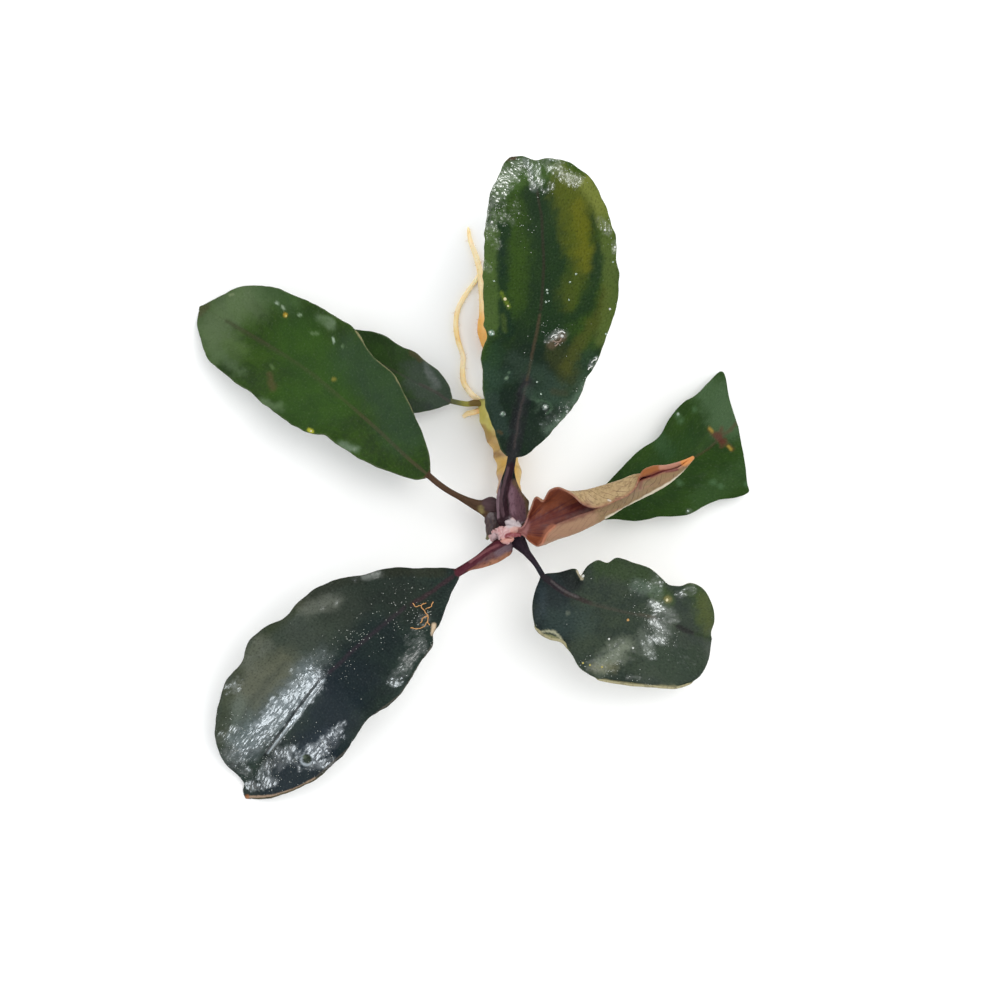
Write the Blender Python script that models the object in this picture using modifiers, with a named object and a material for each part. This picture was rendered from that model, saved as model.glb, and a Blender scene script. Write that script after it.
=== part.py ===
"""A bucephalandra, a small creeping plant of tropical streams, as one rooted cutting lying on a table.

The plant lies on the underside of its rhizome, with the ends of its old leaves touching the table.
+Z is up and +Y runs from the crown back along the rhizome to the roots. The origin is on the table,
under the middle of the plant.

Plan positions are in tracing units: the plant was drawn from straight above on a grid of 1000 by 1000,
with x to the right and y down. What is nearer the eye looks larger, so place() turns a traced position
and a height into metres. Heights, radii and thicknesses are real sizes in millimetres. Every leaf is an
open surface from margin to margin, made solid by a Solidify modifier whose thickness follows the petiole
and the midrib. Left and right are as seen by someone walking from a leaf's foot to its tip.
"""

import math

import bmesh
import bpy
import numpy as np

MM = 0.001

# The real length of the largest blade, and its length as traced, set the scale of the whole plant
UPPER_BLADE_LENGTH = 45 * MM
UPPER_BLADE_TRACED = 300
UNIT = UPPER_BLADE_LENGTH / UPPER_BLADE_TRACED

# The eye looks straight down from this height, and UNIT is true at the height of the crown
EYE_HEIGHT = 400 * MM
CROWN_HEIGHT = 12 * MM
EYE_TRACED = (500, 500)
MIDDLE_TRACED = (474, 488)

# Thickness of a blade beside its midrib and at its margin, of the sheaths, and of the youngest leaf
BLADE_THICKNESS = 0.50 * MM
MARGIN_THICKNESS = 0.34 * MM
SHEATH_THICKNESS = 0.36 * MM
YOUNG_THICKNESS = 0.34 * MM
MIDRIB_SPREAD = 0.9 * MM

# Mesh density: rows along a petiole and a blade, and where the columns lie from left to right margin
PETIOLE_ROWS = 7
BLADE_ROWS = 20
COLUMNS = (-1, -0.62, -0.26, 0, 0.26, 0.62, 1)
PETIOLE_EDGE = 0.62
YOUNG_ROWS = 26
YOUNG_COLUMNS = 11

# Each petiole is a list of (x, y, height, radius, left wing, right wing) from the crown to the blade,
# each midrib a list of (x, y, height) from there to the tip, and each margin a list of (x, y) between.
# cup is how far the margins stand above the midrib, and wave how far they rise and fall along it.
LEAVES = {
    "upper_leaf": {
        "petiole": [
            (506, 516, 11.2, 0.75, 0.5, 1.6), (505, 500, 12.6, 0.72, 0.5, 3.0),
            (507, 483, 14.6, 0.7, 0.2, 1.0), (510, 468, 17, 0.68, 0, 0), (512, 457, 18.6, 0.65, 0, 0),
        ],
        "midrib": [
            (512, 457, 18.6), (519, 400, 22.4), (531, 355, 24.8), (540, 310, 26.6), (543.5, 265, 27.6),
            (541, 220, 27.6), (535, 185, 26.6), (525, 167, 25.6), (511, 157, 24.6),
        ],
        "left": [
            (502, 449), (493, 428), (487, 410), (483, 390), (482, 370), (481, 354), (487, 338),
            (484, 324), (484, 300), (483, 270), (484, 240), (487, 212), (491, 192), (499, 174),
            (506, 161),
        ],
        "right": [
            (522, 457), (538, 446), (553, 430), (563, 419), (578, 401), (586, 381), (598, 360),
            (607, 336), (613, 318), (618, 298), (619, 278), (616, 258), (616, 238), (609, 215),
            (600, 193), (586, 174), (568, 162), (548, 158), (535, 160), (523, 156),
        ],
        "cup": 0.9, "wave": 0.7, "waves": 5.2, "phases": (0.1, 0.55),
    },
    "left_leaf": {
        "petiole": [
            (491, 506, 9.6, 0.8, 0.3, 0.3), (480, 503, 10, 0.55, 0.5, 0), (458, 496, 10.2, 0.46, 0, 0),
            (440, 485, 10.2, 0.46, 0, 0), (428, 475, 10.2, 0.46, 0, 0),
        ],
        "midrib": [
            (428, 475, 10.2), (410, 460, 11), (378, 430, 11.6), (345, 401, 11.4), (315, 376, 10.4),
            (280, 352, 8.2), (245, 331, 5), (220, 318, 2.4), (200, 307, -0.4),
        ],
        "left": [
            (416, 479), (398, 475), (375, 466), (352, 454), (335, 443), (324, 435), (311, 434),
            (296, 427), (282, 418), (268, 408), (258, 400), (251, 393), (238, 385), (222, 372),
            (209, 360), (202, 344), (197, 324),
        ],
        "right": [
            (429, 456), (422, 432), (413, 411), (401, 386), (393, 373), (378, 361), (368, 350),
            (357, 331), (343, 321), (330, 314), (318, 306), (301, 298), (279, 289), (258, 285),
            (238, 287), (219, 297), (207, 303),
        ],
        "cup": 1.1, "wave": 0.7, "waves": 5.6, "phases": (0.3, 0.0),
    },
    "left_rear_leaf": {
        "petiole": [
            (474.5, 403, 2.2, 0.5, 0, 0), (468, 404, 2.6, 0.42, 0, 0), (460, 403, 3.2, 0.4, 0, 0),
            (451, 401, 3.8, 0.4, 0, 0),
        ],
        "midrib": [(451, 401, 3.8), (430, 391, 4.8), (400, 374, 5), (368, 357, 3.2), (336, 343, 0.2)],
        "left": [(442, 407), (427, 411), (408, 413), (382, 404), (362, 390), (345, 370)],
        "right": [
            (450, 388), (441, 373), (424, 360), (418, 354), (400, 346), (386, 336), (364, 330),
            (347, 331),
        ],
        "cup": 0.5, "wave": 0.4, "waves": 3.3, "phases": (0.4, 0.1),
    },
    "lower_left_leaf": {
        "petiole": [
            (499, 544, 10.8, 0.75, 0.4, 0.1), (490, 551, 12.4, 0.72, 1.4, 0.1),
            (478, 560, 13.8, 0.7, 0.7, 0), (467, 567, 14.8, 0.68, 0, 0), (457, 573, 15.6, 0.66, 0, 0),
        ],
        "midrib": [
            (457, 573, 15.6), (430, 592, 17.4), (405, 606, 18.2), (365, 638, 18), (330, 672, 15.8),
            (312, 693, 13.8), (290, 722, 10.4), (272, 748, 6.8), (258, 770, 3.4), (246, 798, -0.3),
        ],
        "left": [
            (452, 590), (444, 613), (439, 626), (433, 634), (433, 645), (422, 660), (411, 678),
            (401, 694), (387, 707), (372, 716), (358, 733), (349, 748), (336, 762), (315, 779),
            (292, 790), (266, 798),
        ],
        "right": [
            (442, 569), (415, 568), (382, 569), (363, 575), (338, 579), (315, 589), (298, 602),
            (284, 618), (263, 628), (247, 645), (241, 663), (227, 679), (220, 700), (215, 722),
            (217, 746), (225, 763), (238, 775), (244, 784), (243, 791),
        ],
        "cup": -0.6, "wave": 0.8, "waves": 5.4, "phases": (0.35, 0.0),
    },
    "lower_right_leaf": {
        "petiole": [
            (521, 544, 10.4, 0.7, 0.1, 0.1), (527, 552, 12, 0.58, 0, 0), (535, 563, 13.4, 0.42, 0, 0),
            (543, 576, 14.6, 0.42, 0, 0),
        ],
        "midrib": [
            (543, 576, 14.6), (562, 591, 16.2), (585, 602, 17), (620, 611, 16.8), (645, 616, 15.4),
            (668, 623, 11.6), (690, 632, 6), (711, 639, -0.4),
        ],
        "left": [
            (560, 572), (577, 570), (580, 576), (590, 564), (598, 560), (607, 563), (615, 558),
            (634, 563), (650, 568), (661, 578), (669, 585), (680, 586), (691, 583), (703, 589),
            (712, 605), (714, 622), (711, 631),
        ],
        "right": [
            (535, 592), (532, 612), (538, 631), (549, 638), (562, 642), (571, 654), (580, 668),
            (597, 678), (622, 684), (650, 686), (679, 687), (698, 678), (708, 661), (710, 648),
        ],
        "cup": -0.9, "wave": 0.9, "waves": 4.2, "phases": (0.15, 0.6),
    },
    "right_leaf": {
        "petiole": [
            (526, 528, 8.8, 0.7, 0.2, 0.2), (540, 527, 9, 0.55, 0, 0), (558, 526, 8.8, 0.5, 0, 0),
            (577, 525, 8.4, 0.5, 0, 0),
        ],
        "midrib": [(577, 525, 8.4), (610, 506, 8.4), (650, 482, 7.2), (695, 457, 4.4), (738, 428, 0.5)],
        "left": [
            (590, 500), (604, 486), (622, 468), (638, 451), (660, 436), (670, 418), (684, 402),
            (697, 394), (707, 384), (721, 371), (729, 399),
        ],
        "right": [
            (592, 521), (613, 519), (637, 521), (658, 517), (687, 515), (705, 506), (718, 500),
            (735, 498), (749, 493), (744, 460),
        ],
        "cup": -1.2, "wave": 0.4, "waves": 3.2, "phases": (0.2, 0.7),
    },
}

# The youngest leaf is still rolled. Its guide lines (x, y, height) run from foot to tip: the left margin,
# the bulge of the left side, the midrib underneath, the bulge of the right side and the right margin.
YOUNG_LEAF = [
    [
        (522, 527, 12.6), (530, 510, 14.8), (537.5, 497.5, 16.6), (541, 501, 16.6), (550, 490, 18.2),
        (557, 487.5, 19), (566, 491, 19.6), (575, 497.5, 20), (583, 505, 20), (591, 508, 20),
        (602, 507, 20.6), (616, 501, 21.4), (629, 495, 22), (636, 487, 22.6), (638.5, 478, 23.2),
        (643, 470, 24), (652, 466, 24.2), (666, 465, 24.2), (682, 461, 24.6), (695, 456, 24.8),
    ],
    [
        (522, 529, 12.2), (533, 514, 13.4), (548, 502, 14.8), (563, 494.5, 16.4), (578, 492.5, 17.6),
        (600, 487, 18.6), (620, 481, 19.8), (636, 475, 21), (648, 474, 21.6), (664, 469.5, 22.6),
        (680, 463, 23.8), (695, 456, 24.6),
    ],
    [
        (522, 531, 12), (540, 524, 13), (562, 516, 14), (588, 506, 15.4), (618, 493, 17.6),
        (648, 481.5, 20), (672, 471, 22.2), (695, 456, 24.4),
    ],
    [
        (522, 533, 12.2), (531, 539, 13.2), (542, 543, 14.8), (558, 538.5, 15.6), (580, 531, 16.4),
        (605, 518, 17.8), (625, 506, 19.2), (648, 494.5, 20.8), (667, 484, 22.2), (682, 471, 23.4),
        (695, 456, 24.6),
    ],
    [
        (522, 535, 12.6), (530, 542, 14), (537, 546, 15.6), (541, 544, 16.8), (545, 535, 17.6),
        (554, 525.5, 18), (566, 520, 18.2), (578, 515, 18.4), (590, 511, 18.6), (606, 503, 19.4),
        (622, 493, 20.4), (640, 481, 21.8), (656, 476, 22.8), (670, 472, 23.4), (682, 467, 24),
        (695, 456, 24.8),
    ],
]

# The rhizome (x, y, height, radius) from the crown to its cut old end, and its leaf scars on the way
RHIZOME = [
    (508, 530, 9.9, 0.5), (508, 526, 9.6, 1.25), (508.5, 514, 8.6, 1.5), (509, 495, 6.8, 1.72),
    (509, 472, 4.0, 1.78), (504, 449, 2.0, 1.76), (495, 430, 1.4, 1.72), (490.5, 417, 1.25, 1.66),
    (488, 407, 1.2, 1.58), (487, 399.5, 1.1, 1.46),
]
SCARS = 7
SCAR_RISE = 0.07

# The roots (x, y, height, radius), which lie on the table
ROOTS = {
    "main_root": [
        (501.5, 406, 0.75, 0.5), (501.5, 394, 0.6, 0.5), (498.5, 378, 0.6, 0.52), (493, 360, 0.8, 0.72),
        (488, 344, 1.1, 1.05), (485.5, 329, 1.35, 1.3), (484, 315, 0.85, 0.8), (482.5, 300, 0.6, 0.55),
        (481.5, 287, 0.54, 0.5), (480, 272, 0.5, 0.46), (476, 256, 0.46, 0.42), (471, 243, 0.4, 0.36),
        (468, 227, 0.3, 0.22),
    ],
    "looping_root": [
        (473.5, 396, 1.3, 0.46), (469, 391, 0.9, 0.44), (464, 383, 0.55, 0.42), (462.5, 370, 0.46, 0.42),
        (463, 357, 0.44, 0.4), (458.5, 342, 0.44, 0.4), (456, 328, 0.42, 0.4), (457.5, 311, 0.42, 0.4),
        (463, 299, 0.42, 0.38), (471, 287, 0.42, 0.34),
    ],
    "root_stub": [(474.5, 412, 1.2, 0.42), (468, 413.5, 0.7, 0.38), (463, 417, 0.4, 0.3)],
}

# The two scale leaves of the crown: midrib (x, y, height, half width), and how far the margins bend down
SCALES = {
    "dark_scale": {
        "midrib": [
            (491, 513, 9.6, 0.7), (490, 521, 9.4, 0.85), (488.5, 530, 8.8, 0.55), (487, 540, 8, 0.1),
        ],
        "bend": -0.5,
    },
    "papery_scale": {
        "midrib": [
            (515, 524, 12.1, 0.5), (511, 530, 12.4, 1.15), (507, 536, 12.4, 1.1),
            (502, 542, 12.3, 0.5),
        ],
        "bend": -0.25,
    },
}

# Colour, roughness and metallic value of each node
FINISHES = {
    "upper_leaf": ((0.045, 0.105, 0.022), 0.3),
    "left_leaf": ((0.032, 0.090, 0.022), 0.42),
    "left_rear_leaf": ((0.018, 0.032, 0.026), 0.45),
    "lower_left_leaf": ((0.022, 0.036, 0.028), 0.25),
    "lower_right_leaf": ((0.040, 0.062, 0.040), 0.3),
    "right_leaf": ((0.028, 0.090, 0.026), 0.42),
    "young_leaf": ((0.34, 0.15, 0.075), 0.5),
    "rhizome": ((0.50, 0.34, 0.08), 0.5),
    "main_root": ((0.72, 0.42, 0.16), 0.5),
    "looping_root": ((0.80, 0.52, 0.22), 0.5),
    "root_stub": ((0.70, 0.48, 0.24), 0.5),
    "dark_scale": ((0.035, 0.022, 0.025), 0.4),
    "papery_scale": ((0.60, 0.36, 0.34), 0.6),
}


def place(traced, height):
    """The point in metres that looks to be at a traced position when it is this many mm high."""
    height = height * MM
    nearer = (EYE_HEIGHT - height) / (EYE_HEIGHT - CROWN_HEIGHT)
    at_table = EYE_HEIGHT / (EYE_HEIGHT - CROWN_HEIGHT)
    x = (traced[0] - EYE_TRACED[0]) * nearer - (MIDDLE_TRACED[0] - EYE_TRACED[0]) * at_table
    y = (traced[1] - EYE_TRACED[1]) * nearer - (MIDDLE_TRACED[1] - EYE_TRACED[1]) * at_table
    return np.array((x * UNIT, -y * UNIT, height))


def curve(points, shares, plan_only=True):
    """Points at these shares of the length of a smooth curve through the given points."""
    points = np.array(points, float)
    spans = np.diff(points[:, :2] if plan_only else points, axis=0)
    steps = np.linalg.norm(spans, axis=1)
    knots = np.concatenate([[0], np.cumsum(steps)]) / steps.sum()
    gaps = np.diff(knots)[:, None]
    slopes = np.diff(points, axis=0) / gaps
    tangents = np.empty_like(points)
    tangents[0] = slopes[0]
    tangents[-1] = slopes[-1]
    tangents[1:-1] = (slopes[:-1] * gaps[1:] + slopes[1:] * gaps[:-1]) / (gaps[1:] + gaps[:-1])
    found = []
    for share in shares:
        i = min(max(int(np.searchsorted(knots, share)) - 1, 0), len(slopes) - 1)
        width = knots[i + 1] - knots[i]
        t = (share - knots[i]) / width
        start = points[i] * (1 + 2 * t) + tangents[i] * width * t
        end = points[i + 1] * (3 - 2 * t) - tangents[i + 1] * width * (1 - t)
        found.append(start * (1 - t) ** 2 + end * t * t)
    return np.array(found)


def smooth_step(share):
    share = min(max(share, 0), 1)
    return share * share * (3 - 2 * share)


def left_of(here, ahead):
    """The unit vector to the left of a traced direction."""
    along = ahead[:2] - here[:2]
    return np.array((along[1], -along[0])) / np.linalg.norm(along)


def petiole_surface(leaf):
    """Points and half thicknesses of a petiole and the wings of its sheath, row by row."""
    shares = np.linspace(0, 1, PETIOLE_ROWS, endpoint=False)
    rows = curve(leaf["petiole"], shares)
    ahead = curve(leaf["petiole"], shares + 0.02)
    points = []
    halves = []
    for here, next_row in zip(rows, ahead):
        left = left_of(here, next_row)
        height, radius = here[2:4]
        for v in COLUMNS:
            wing = max(here[4] if v < 0 else here[5], 0)
            if abs(v) > PETIOLE_EDGE:
                across = radius + wing
                half = 0.18 * MM
            else:
                across = 0.92 * radius * abs(v) / PETIOLE_EDGE
                half = radius * MM * math.sqrt(1 - (across / radius) ** 2)
            lift = -0.3 * wing if abs(v) > PETIOLE_EDGE else 0
            traced = here[:2] - left * across * MM / UNIT * np.sign(v)
            points.append(place(traced, height + lift))
            halves.append(half)
    return points, halves


def blade_surface(leaf):
    """Points and half thicknesses of a blade, row by row from the petiole to the tip."""
    turns = np.linspace(0, math.pi * 0.94, BLADE_ROWS)
    shares = (1 - np.cos(turns)) / 2
    midrib = curve(leaf["midrib"], shares)
    ahead = curve(leaf["midrib"], shares + 0.004)
    foot = leaf["midrib"][0][:2]
    tip = leaf["midrib"][-1][:2]
    margins = {side: curve([foot, *leaf[side], tip], shares) for side in ("left", "right")}
    stem_radius = leaf["petiole"][-1][3] * MM
    points = []
    halves = []
    for row, share in enumerate(shares):
        left = left_of(midrib[row], ahead[row])
        swell = math.sqrt(math.sin(math.pi * (0.02 + 0.96 * share)))
        stem_share = 1 - smooth_step(share / 0.07)
        stem_side = left * stem_radius / UNIT * stem_share
        for v in COLUMNS:
            side = "left" if v < 0 else "right"
            outward = margins[side][row] - midrib[row][:2] - stem_side * np.sign(v)
            traced = midrib[row][:2] + abs(v) * outward
            turn = leaf["waves"] * share + leaf["phases"][0 if v < 0 else 1]
            lift = leaf["cup"] * v * v + leaf["wave"] * abs(v) ** 3 * math.sin(2 * math.pi * turn)
            across = np.linalg.norm(outward) * abs(v) * UNIT
            flat = (MARGIN_THICKNESS + (BLADE_THICKNESS - MARGIN_THICKNESS) * (1 - v * v)) / 2
            ridge = max(stem_radius * (1 - share) ** 1.5, flat)
            blade = flat + (ridge - flat) * math.exp(-((across / MIDRIB_SPREAD) ** 2))
            stem = stem_radius * math.sqrt(max(1 - v * v, 0.08))
            half = blade + (stem - blade) * stem_share
            height = max(midrib[row][2] + lift * swell, half / MM + 0.02)
            points.append(place(traced, height))
            halves.append(half)
    return points, halves


def shell(name, points, halves, columns):
    """A solid of varying thickness about rows of points, from a grid surface and Solidify."""
    form = bmesh.new()
    bmesh.ops.create_grid(form, x_segments=columns - 1, y_segments=len(points) // columns - 1, size=1)
    for vertex, point in zip(form.verts, points, strict=True):
        vertex.co = point
    mesh = bpy.data.meshes.new(name)
    form.to_mesh(mesh)
    form.free()
    mesh.shade_smooth()
    made = bpy.data.objects.new(name, mesh)
    group = made.vertex_groups.new(name="thickness")
    most = max(halves)
    for index, half in enumerate(halves):
        group.add([index], half / most, "REPLACE")
    solid = made.modifiers.new("Thickness", "SOLIDIFY")
    solid.thickness = 2 * most
    solid.offset = 0
    solid.vertex_group = group.name
    return made


def make_leaf(name):
    leaf = LEAVES[name]
    petiole_points, petiole_halves = petiole_surface(leaf)
    blade_points, blade_halves = blade_surface(leaf)
    return shell(name, petiole_points + blade_points, petiole_halves + blade_halves, len(COLUMNS))


def make_young_leaf():
    shares = np.linspace(0, 0.985, YOUNG_ROWS)
    guides = [curve([place(p[:2], p[2]) for p in line], shares, plan_only=False) for line in YOUNG_LEAF]
    points = []
    for row in range(YOUNG_ROWS):
        section = [guide[row] for guide in guides]
        points += list(curve(section, np.linspace(0, 1, YOUNG_COLUMNS), plan_only=False))
    return shell("young_leaf", points, [YOUNG_THICKNESS / 2] * len(points), YOUNG_COLUMNS)


def make_scale(name):
    scale = SCALES[name]
    shares = np.linspace(0, 1, 8)
    rows = curve(scale["midrib"], shares)
    ahead = curve(scale["midrib"], shares + 0.02)
    points = []
    for here, next_row in zip(rows, ahead):
        left = left_of(here, next_row)
        for v in (-1, -0.5, 0, 0.5, 1):
            traced = here[:2] - left * v * here[3] * MM / UNIT
            points.append(place(traced, here[2] + scale["bend"] * v * v))
    return shell(name, points, [SHEATH_THICKNESS / 2] * len(points), 5)


def tube(name, course, points_along, bevel_resolution, swell=None):
    """A mesh tube with closed ends along a course of (x, y, height, radius)."""
    shares = np.linspace(0, 1, points_along)
    line = bpy.data.curves.new(name, "CURVE")
    line.dimensions = "3D"
    line.bevel_depth = 1
    line.bevel_resolution = bevel_resolution
    line.use_fill_caps = True
    spline = line.splines.new("POLY")
    spline.points.add(points_along - 1)
    for point, share, (x, y, height, radius) in zip(spline.points, shares, curve(course, shares)):
        point.co = (*place((x, y), height), 1)
        point.radius = radius * MM * (swell(share) if swell else 1)
    bent = bpy.data.objects.new(name, line)
    bpy.context.scene.collection.objects.link(bent)
    graph = bpy.context.evaluated_depsgraph_get()
    mesh = bpy.data.meshes.new_from_object(bent.evaluated_get(graph))
    mesh.name = name
    bpy.data.objects.remove(bent)
    form = bmesh.new()
    form.from_mesh(mesh)
    bmesh.ops.remove_doubles(form, verts=form.verts, dist=1e-6)
    bmesh.ops.recalc_face_normals(form, faces=form.faces)
    form.to_mesh(mesh)
    form.free()
    mesh.shade_smooth()
    return bpy.data.objects.new(name, mesh)


def make_rhizome():
    """The creeping stem, ringed by leaf scars, and flat underneath where it lies on the table."""
    def swell(share):
        return 1 + SCAR_RISE * math.cos(2 * math.pi * SCARS * share)

    stem = tube("rhizome", RHIZOME, 50, 4, swell)
    form = bmesh.new()
    form.from_mesh(stem.data)
    everything = form.verts[:] + form.edges[:] + form.faces[:]
    cut = bmesh.ops.bisect_plane(
        form, geom=everything, plane_co=(0, 0, 0), plane_no=(0, 0, -1), clear_outer=True,
    )
    rim = [item for item in cut["geom_cut"] if isinstance(item, bmesh.types.BMEdge)]
    bmesh.ops.contextual_create(form, geom=rim)
    bmesh.ops.recalc_face_normals(form, faces=form.faces)
    form.to_mesh(stem.data)
    form.free()
    stem.data.set_sharp_from_angle(angle=math.radians(40))
    return stem


def finish(made, collection):
    colour, roughness = FINISHES[made.name]
    material = bpy.data.materials.new(made.name)
    material.use_nodes = True
    shader = material.node_tree.nodes["Principled BSDF"]
    shader.inputs["Base Color"].default_value = (*colour, 1)
    shader.inputs["Roughness"].default_value = roughness
    shader.inputs["Metallic"].default_value = 0
    made.data.materials.clear()
    made.data.materials.append(material)
    collection.objects.link(made)


def main():
    for existing in list(bpy.data.objects):
        bpy.data.objects.remove(existing)
    collection = bpy.data.collections.new("bucephalandra")
    bpy.context.scene.collection.children.link(collection)
    finish(make_rhizome(), collection)
    for name in ROOTS:
        finish(tube(name, ROOTS[name], 26, 2), collection)
    for name in LEAVES:
        finish(make_leaf(name), collection)
    finish(make_young_leaf(), collection)
    for name in SCALES:
        finish(make_scale(name), collection)


main()
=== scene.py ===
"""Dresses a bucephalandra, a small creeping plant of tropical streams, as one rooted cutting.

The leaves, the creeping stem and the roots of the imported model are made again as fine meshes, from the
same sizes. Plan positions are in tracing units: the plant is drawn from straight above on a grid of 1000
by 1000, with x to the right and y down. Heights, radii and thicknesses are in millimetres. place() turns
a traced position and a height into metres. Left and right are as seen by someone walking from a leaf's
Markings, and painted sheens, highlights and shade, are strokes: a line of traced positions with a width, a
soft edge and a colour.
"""

import math

import bpy
import numpy as np
from bpy.props import FloatProperty, FloatVectorProperty, IntProperty, PointerProperty
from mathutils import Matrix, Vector, noise
from mathutils.bvhtree import BVHTree


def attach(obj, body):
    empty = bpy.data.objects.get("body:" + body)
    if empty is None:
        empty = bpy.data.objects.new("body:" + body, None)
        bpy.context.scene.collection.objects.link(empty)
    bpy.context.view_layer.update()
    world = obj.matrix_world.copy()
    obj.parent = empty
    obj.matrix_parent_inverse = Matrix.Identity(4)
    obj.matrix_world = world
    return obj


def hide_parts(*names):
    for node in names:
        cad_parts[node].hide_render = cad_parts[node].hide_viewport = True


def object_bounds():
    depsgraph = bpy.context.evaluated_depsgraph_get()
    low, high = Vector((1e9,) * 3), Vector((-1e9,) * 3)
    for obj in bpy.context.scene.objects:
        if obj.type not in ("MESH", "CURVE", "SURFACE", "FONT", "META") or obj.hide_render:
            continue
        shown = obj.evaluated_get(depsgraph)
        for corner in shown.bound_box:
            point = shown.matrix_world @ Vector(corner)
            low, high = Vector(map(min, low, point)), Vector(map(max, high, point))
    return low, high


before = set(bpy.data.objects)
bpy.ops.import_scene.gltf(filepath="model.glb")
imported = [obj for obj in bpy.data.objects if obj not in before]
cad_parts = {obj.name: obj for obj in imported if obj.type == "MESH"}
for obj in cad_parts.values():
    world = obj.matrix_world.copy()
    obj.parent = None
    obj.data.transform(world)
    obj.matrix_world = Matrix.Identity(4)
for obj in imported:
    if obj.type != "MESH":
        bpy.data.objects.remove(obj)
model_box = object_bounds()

bl_info = {
    "name": "Bucephalandra",
    "version": (1, 0, 0),
    "blender": (4, 5, 0),
    "location": "View3D > Sidebar > Bucephalandra",
    "description": "Builds the leaves, stem, roots and stage of a rooted bucephalandra cutting",
    "category": "Add Mesh",
}

MM = 0.001
BODY = "root"

# The scale of the tracing, and the eye that looks straight down on the plant
UPPER_BLADE_LENGTH = 45 * MM
UPPER_BLADE_TRACED = 300
UNIT = UPPER_BLADE_LENGTH / UPPER_BLADE_TRACED
EYE_HEIGHT = 400 * MM
CROWN_HEIGHT = 12 * MM
EYE_TRACED = (500, 500)
MIDDLE_TRACED = (474, 488)
MIDDLE_OFFSET = tuple((middle - eye) * EYE_HEIGHT / (EYE_HEIGHT - CROWN_HEIGHT)
                      for middle, eye in zip(MIDDLE_TRACED, EYE_TRACED))
PICTURE = 1000
SENSOR = 36

# Thickness in mm of a blade beside its midrib and at its margin, of a sheath and of the young leaf
BLADE_THICKNESS = 0.50
MARGIN_THICKNESS = 0.34
SHEATH_THICKNESS = 0.36
YOUNG_THICKNESS = 0.34

# In mm, the radius of a rounded edge, how wide the midrib swells the blade and the step between side veins
EDGE_ROUNDING = 0.17
MIDRIB_SPREAD = 0.9
VEIN_STEP = 3.1

# The column, from 0 in the middle to 1, where a petiole's round part ends and its wing begins
PETIOLE_EDGE = 0.62

# Small enough not to show, and keeps a division from failing
TINY = 1e-6

# Mesh density of the leaves
PETIOLE_ROWS = 34
BLADE_ROWS = 226
INNER_COLUMNS = 34
MARGIN_COLUMNS = 15
MARGIN_START = 0.9

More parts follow.
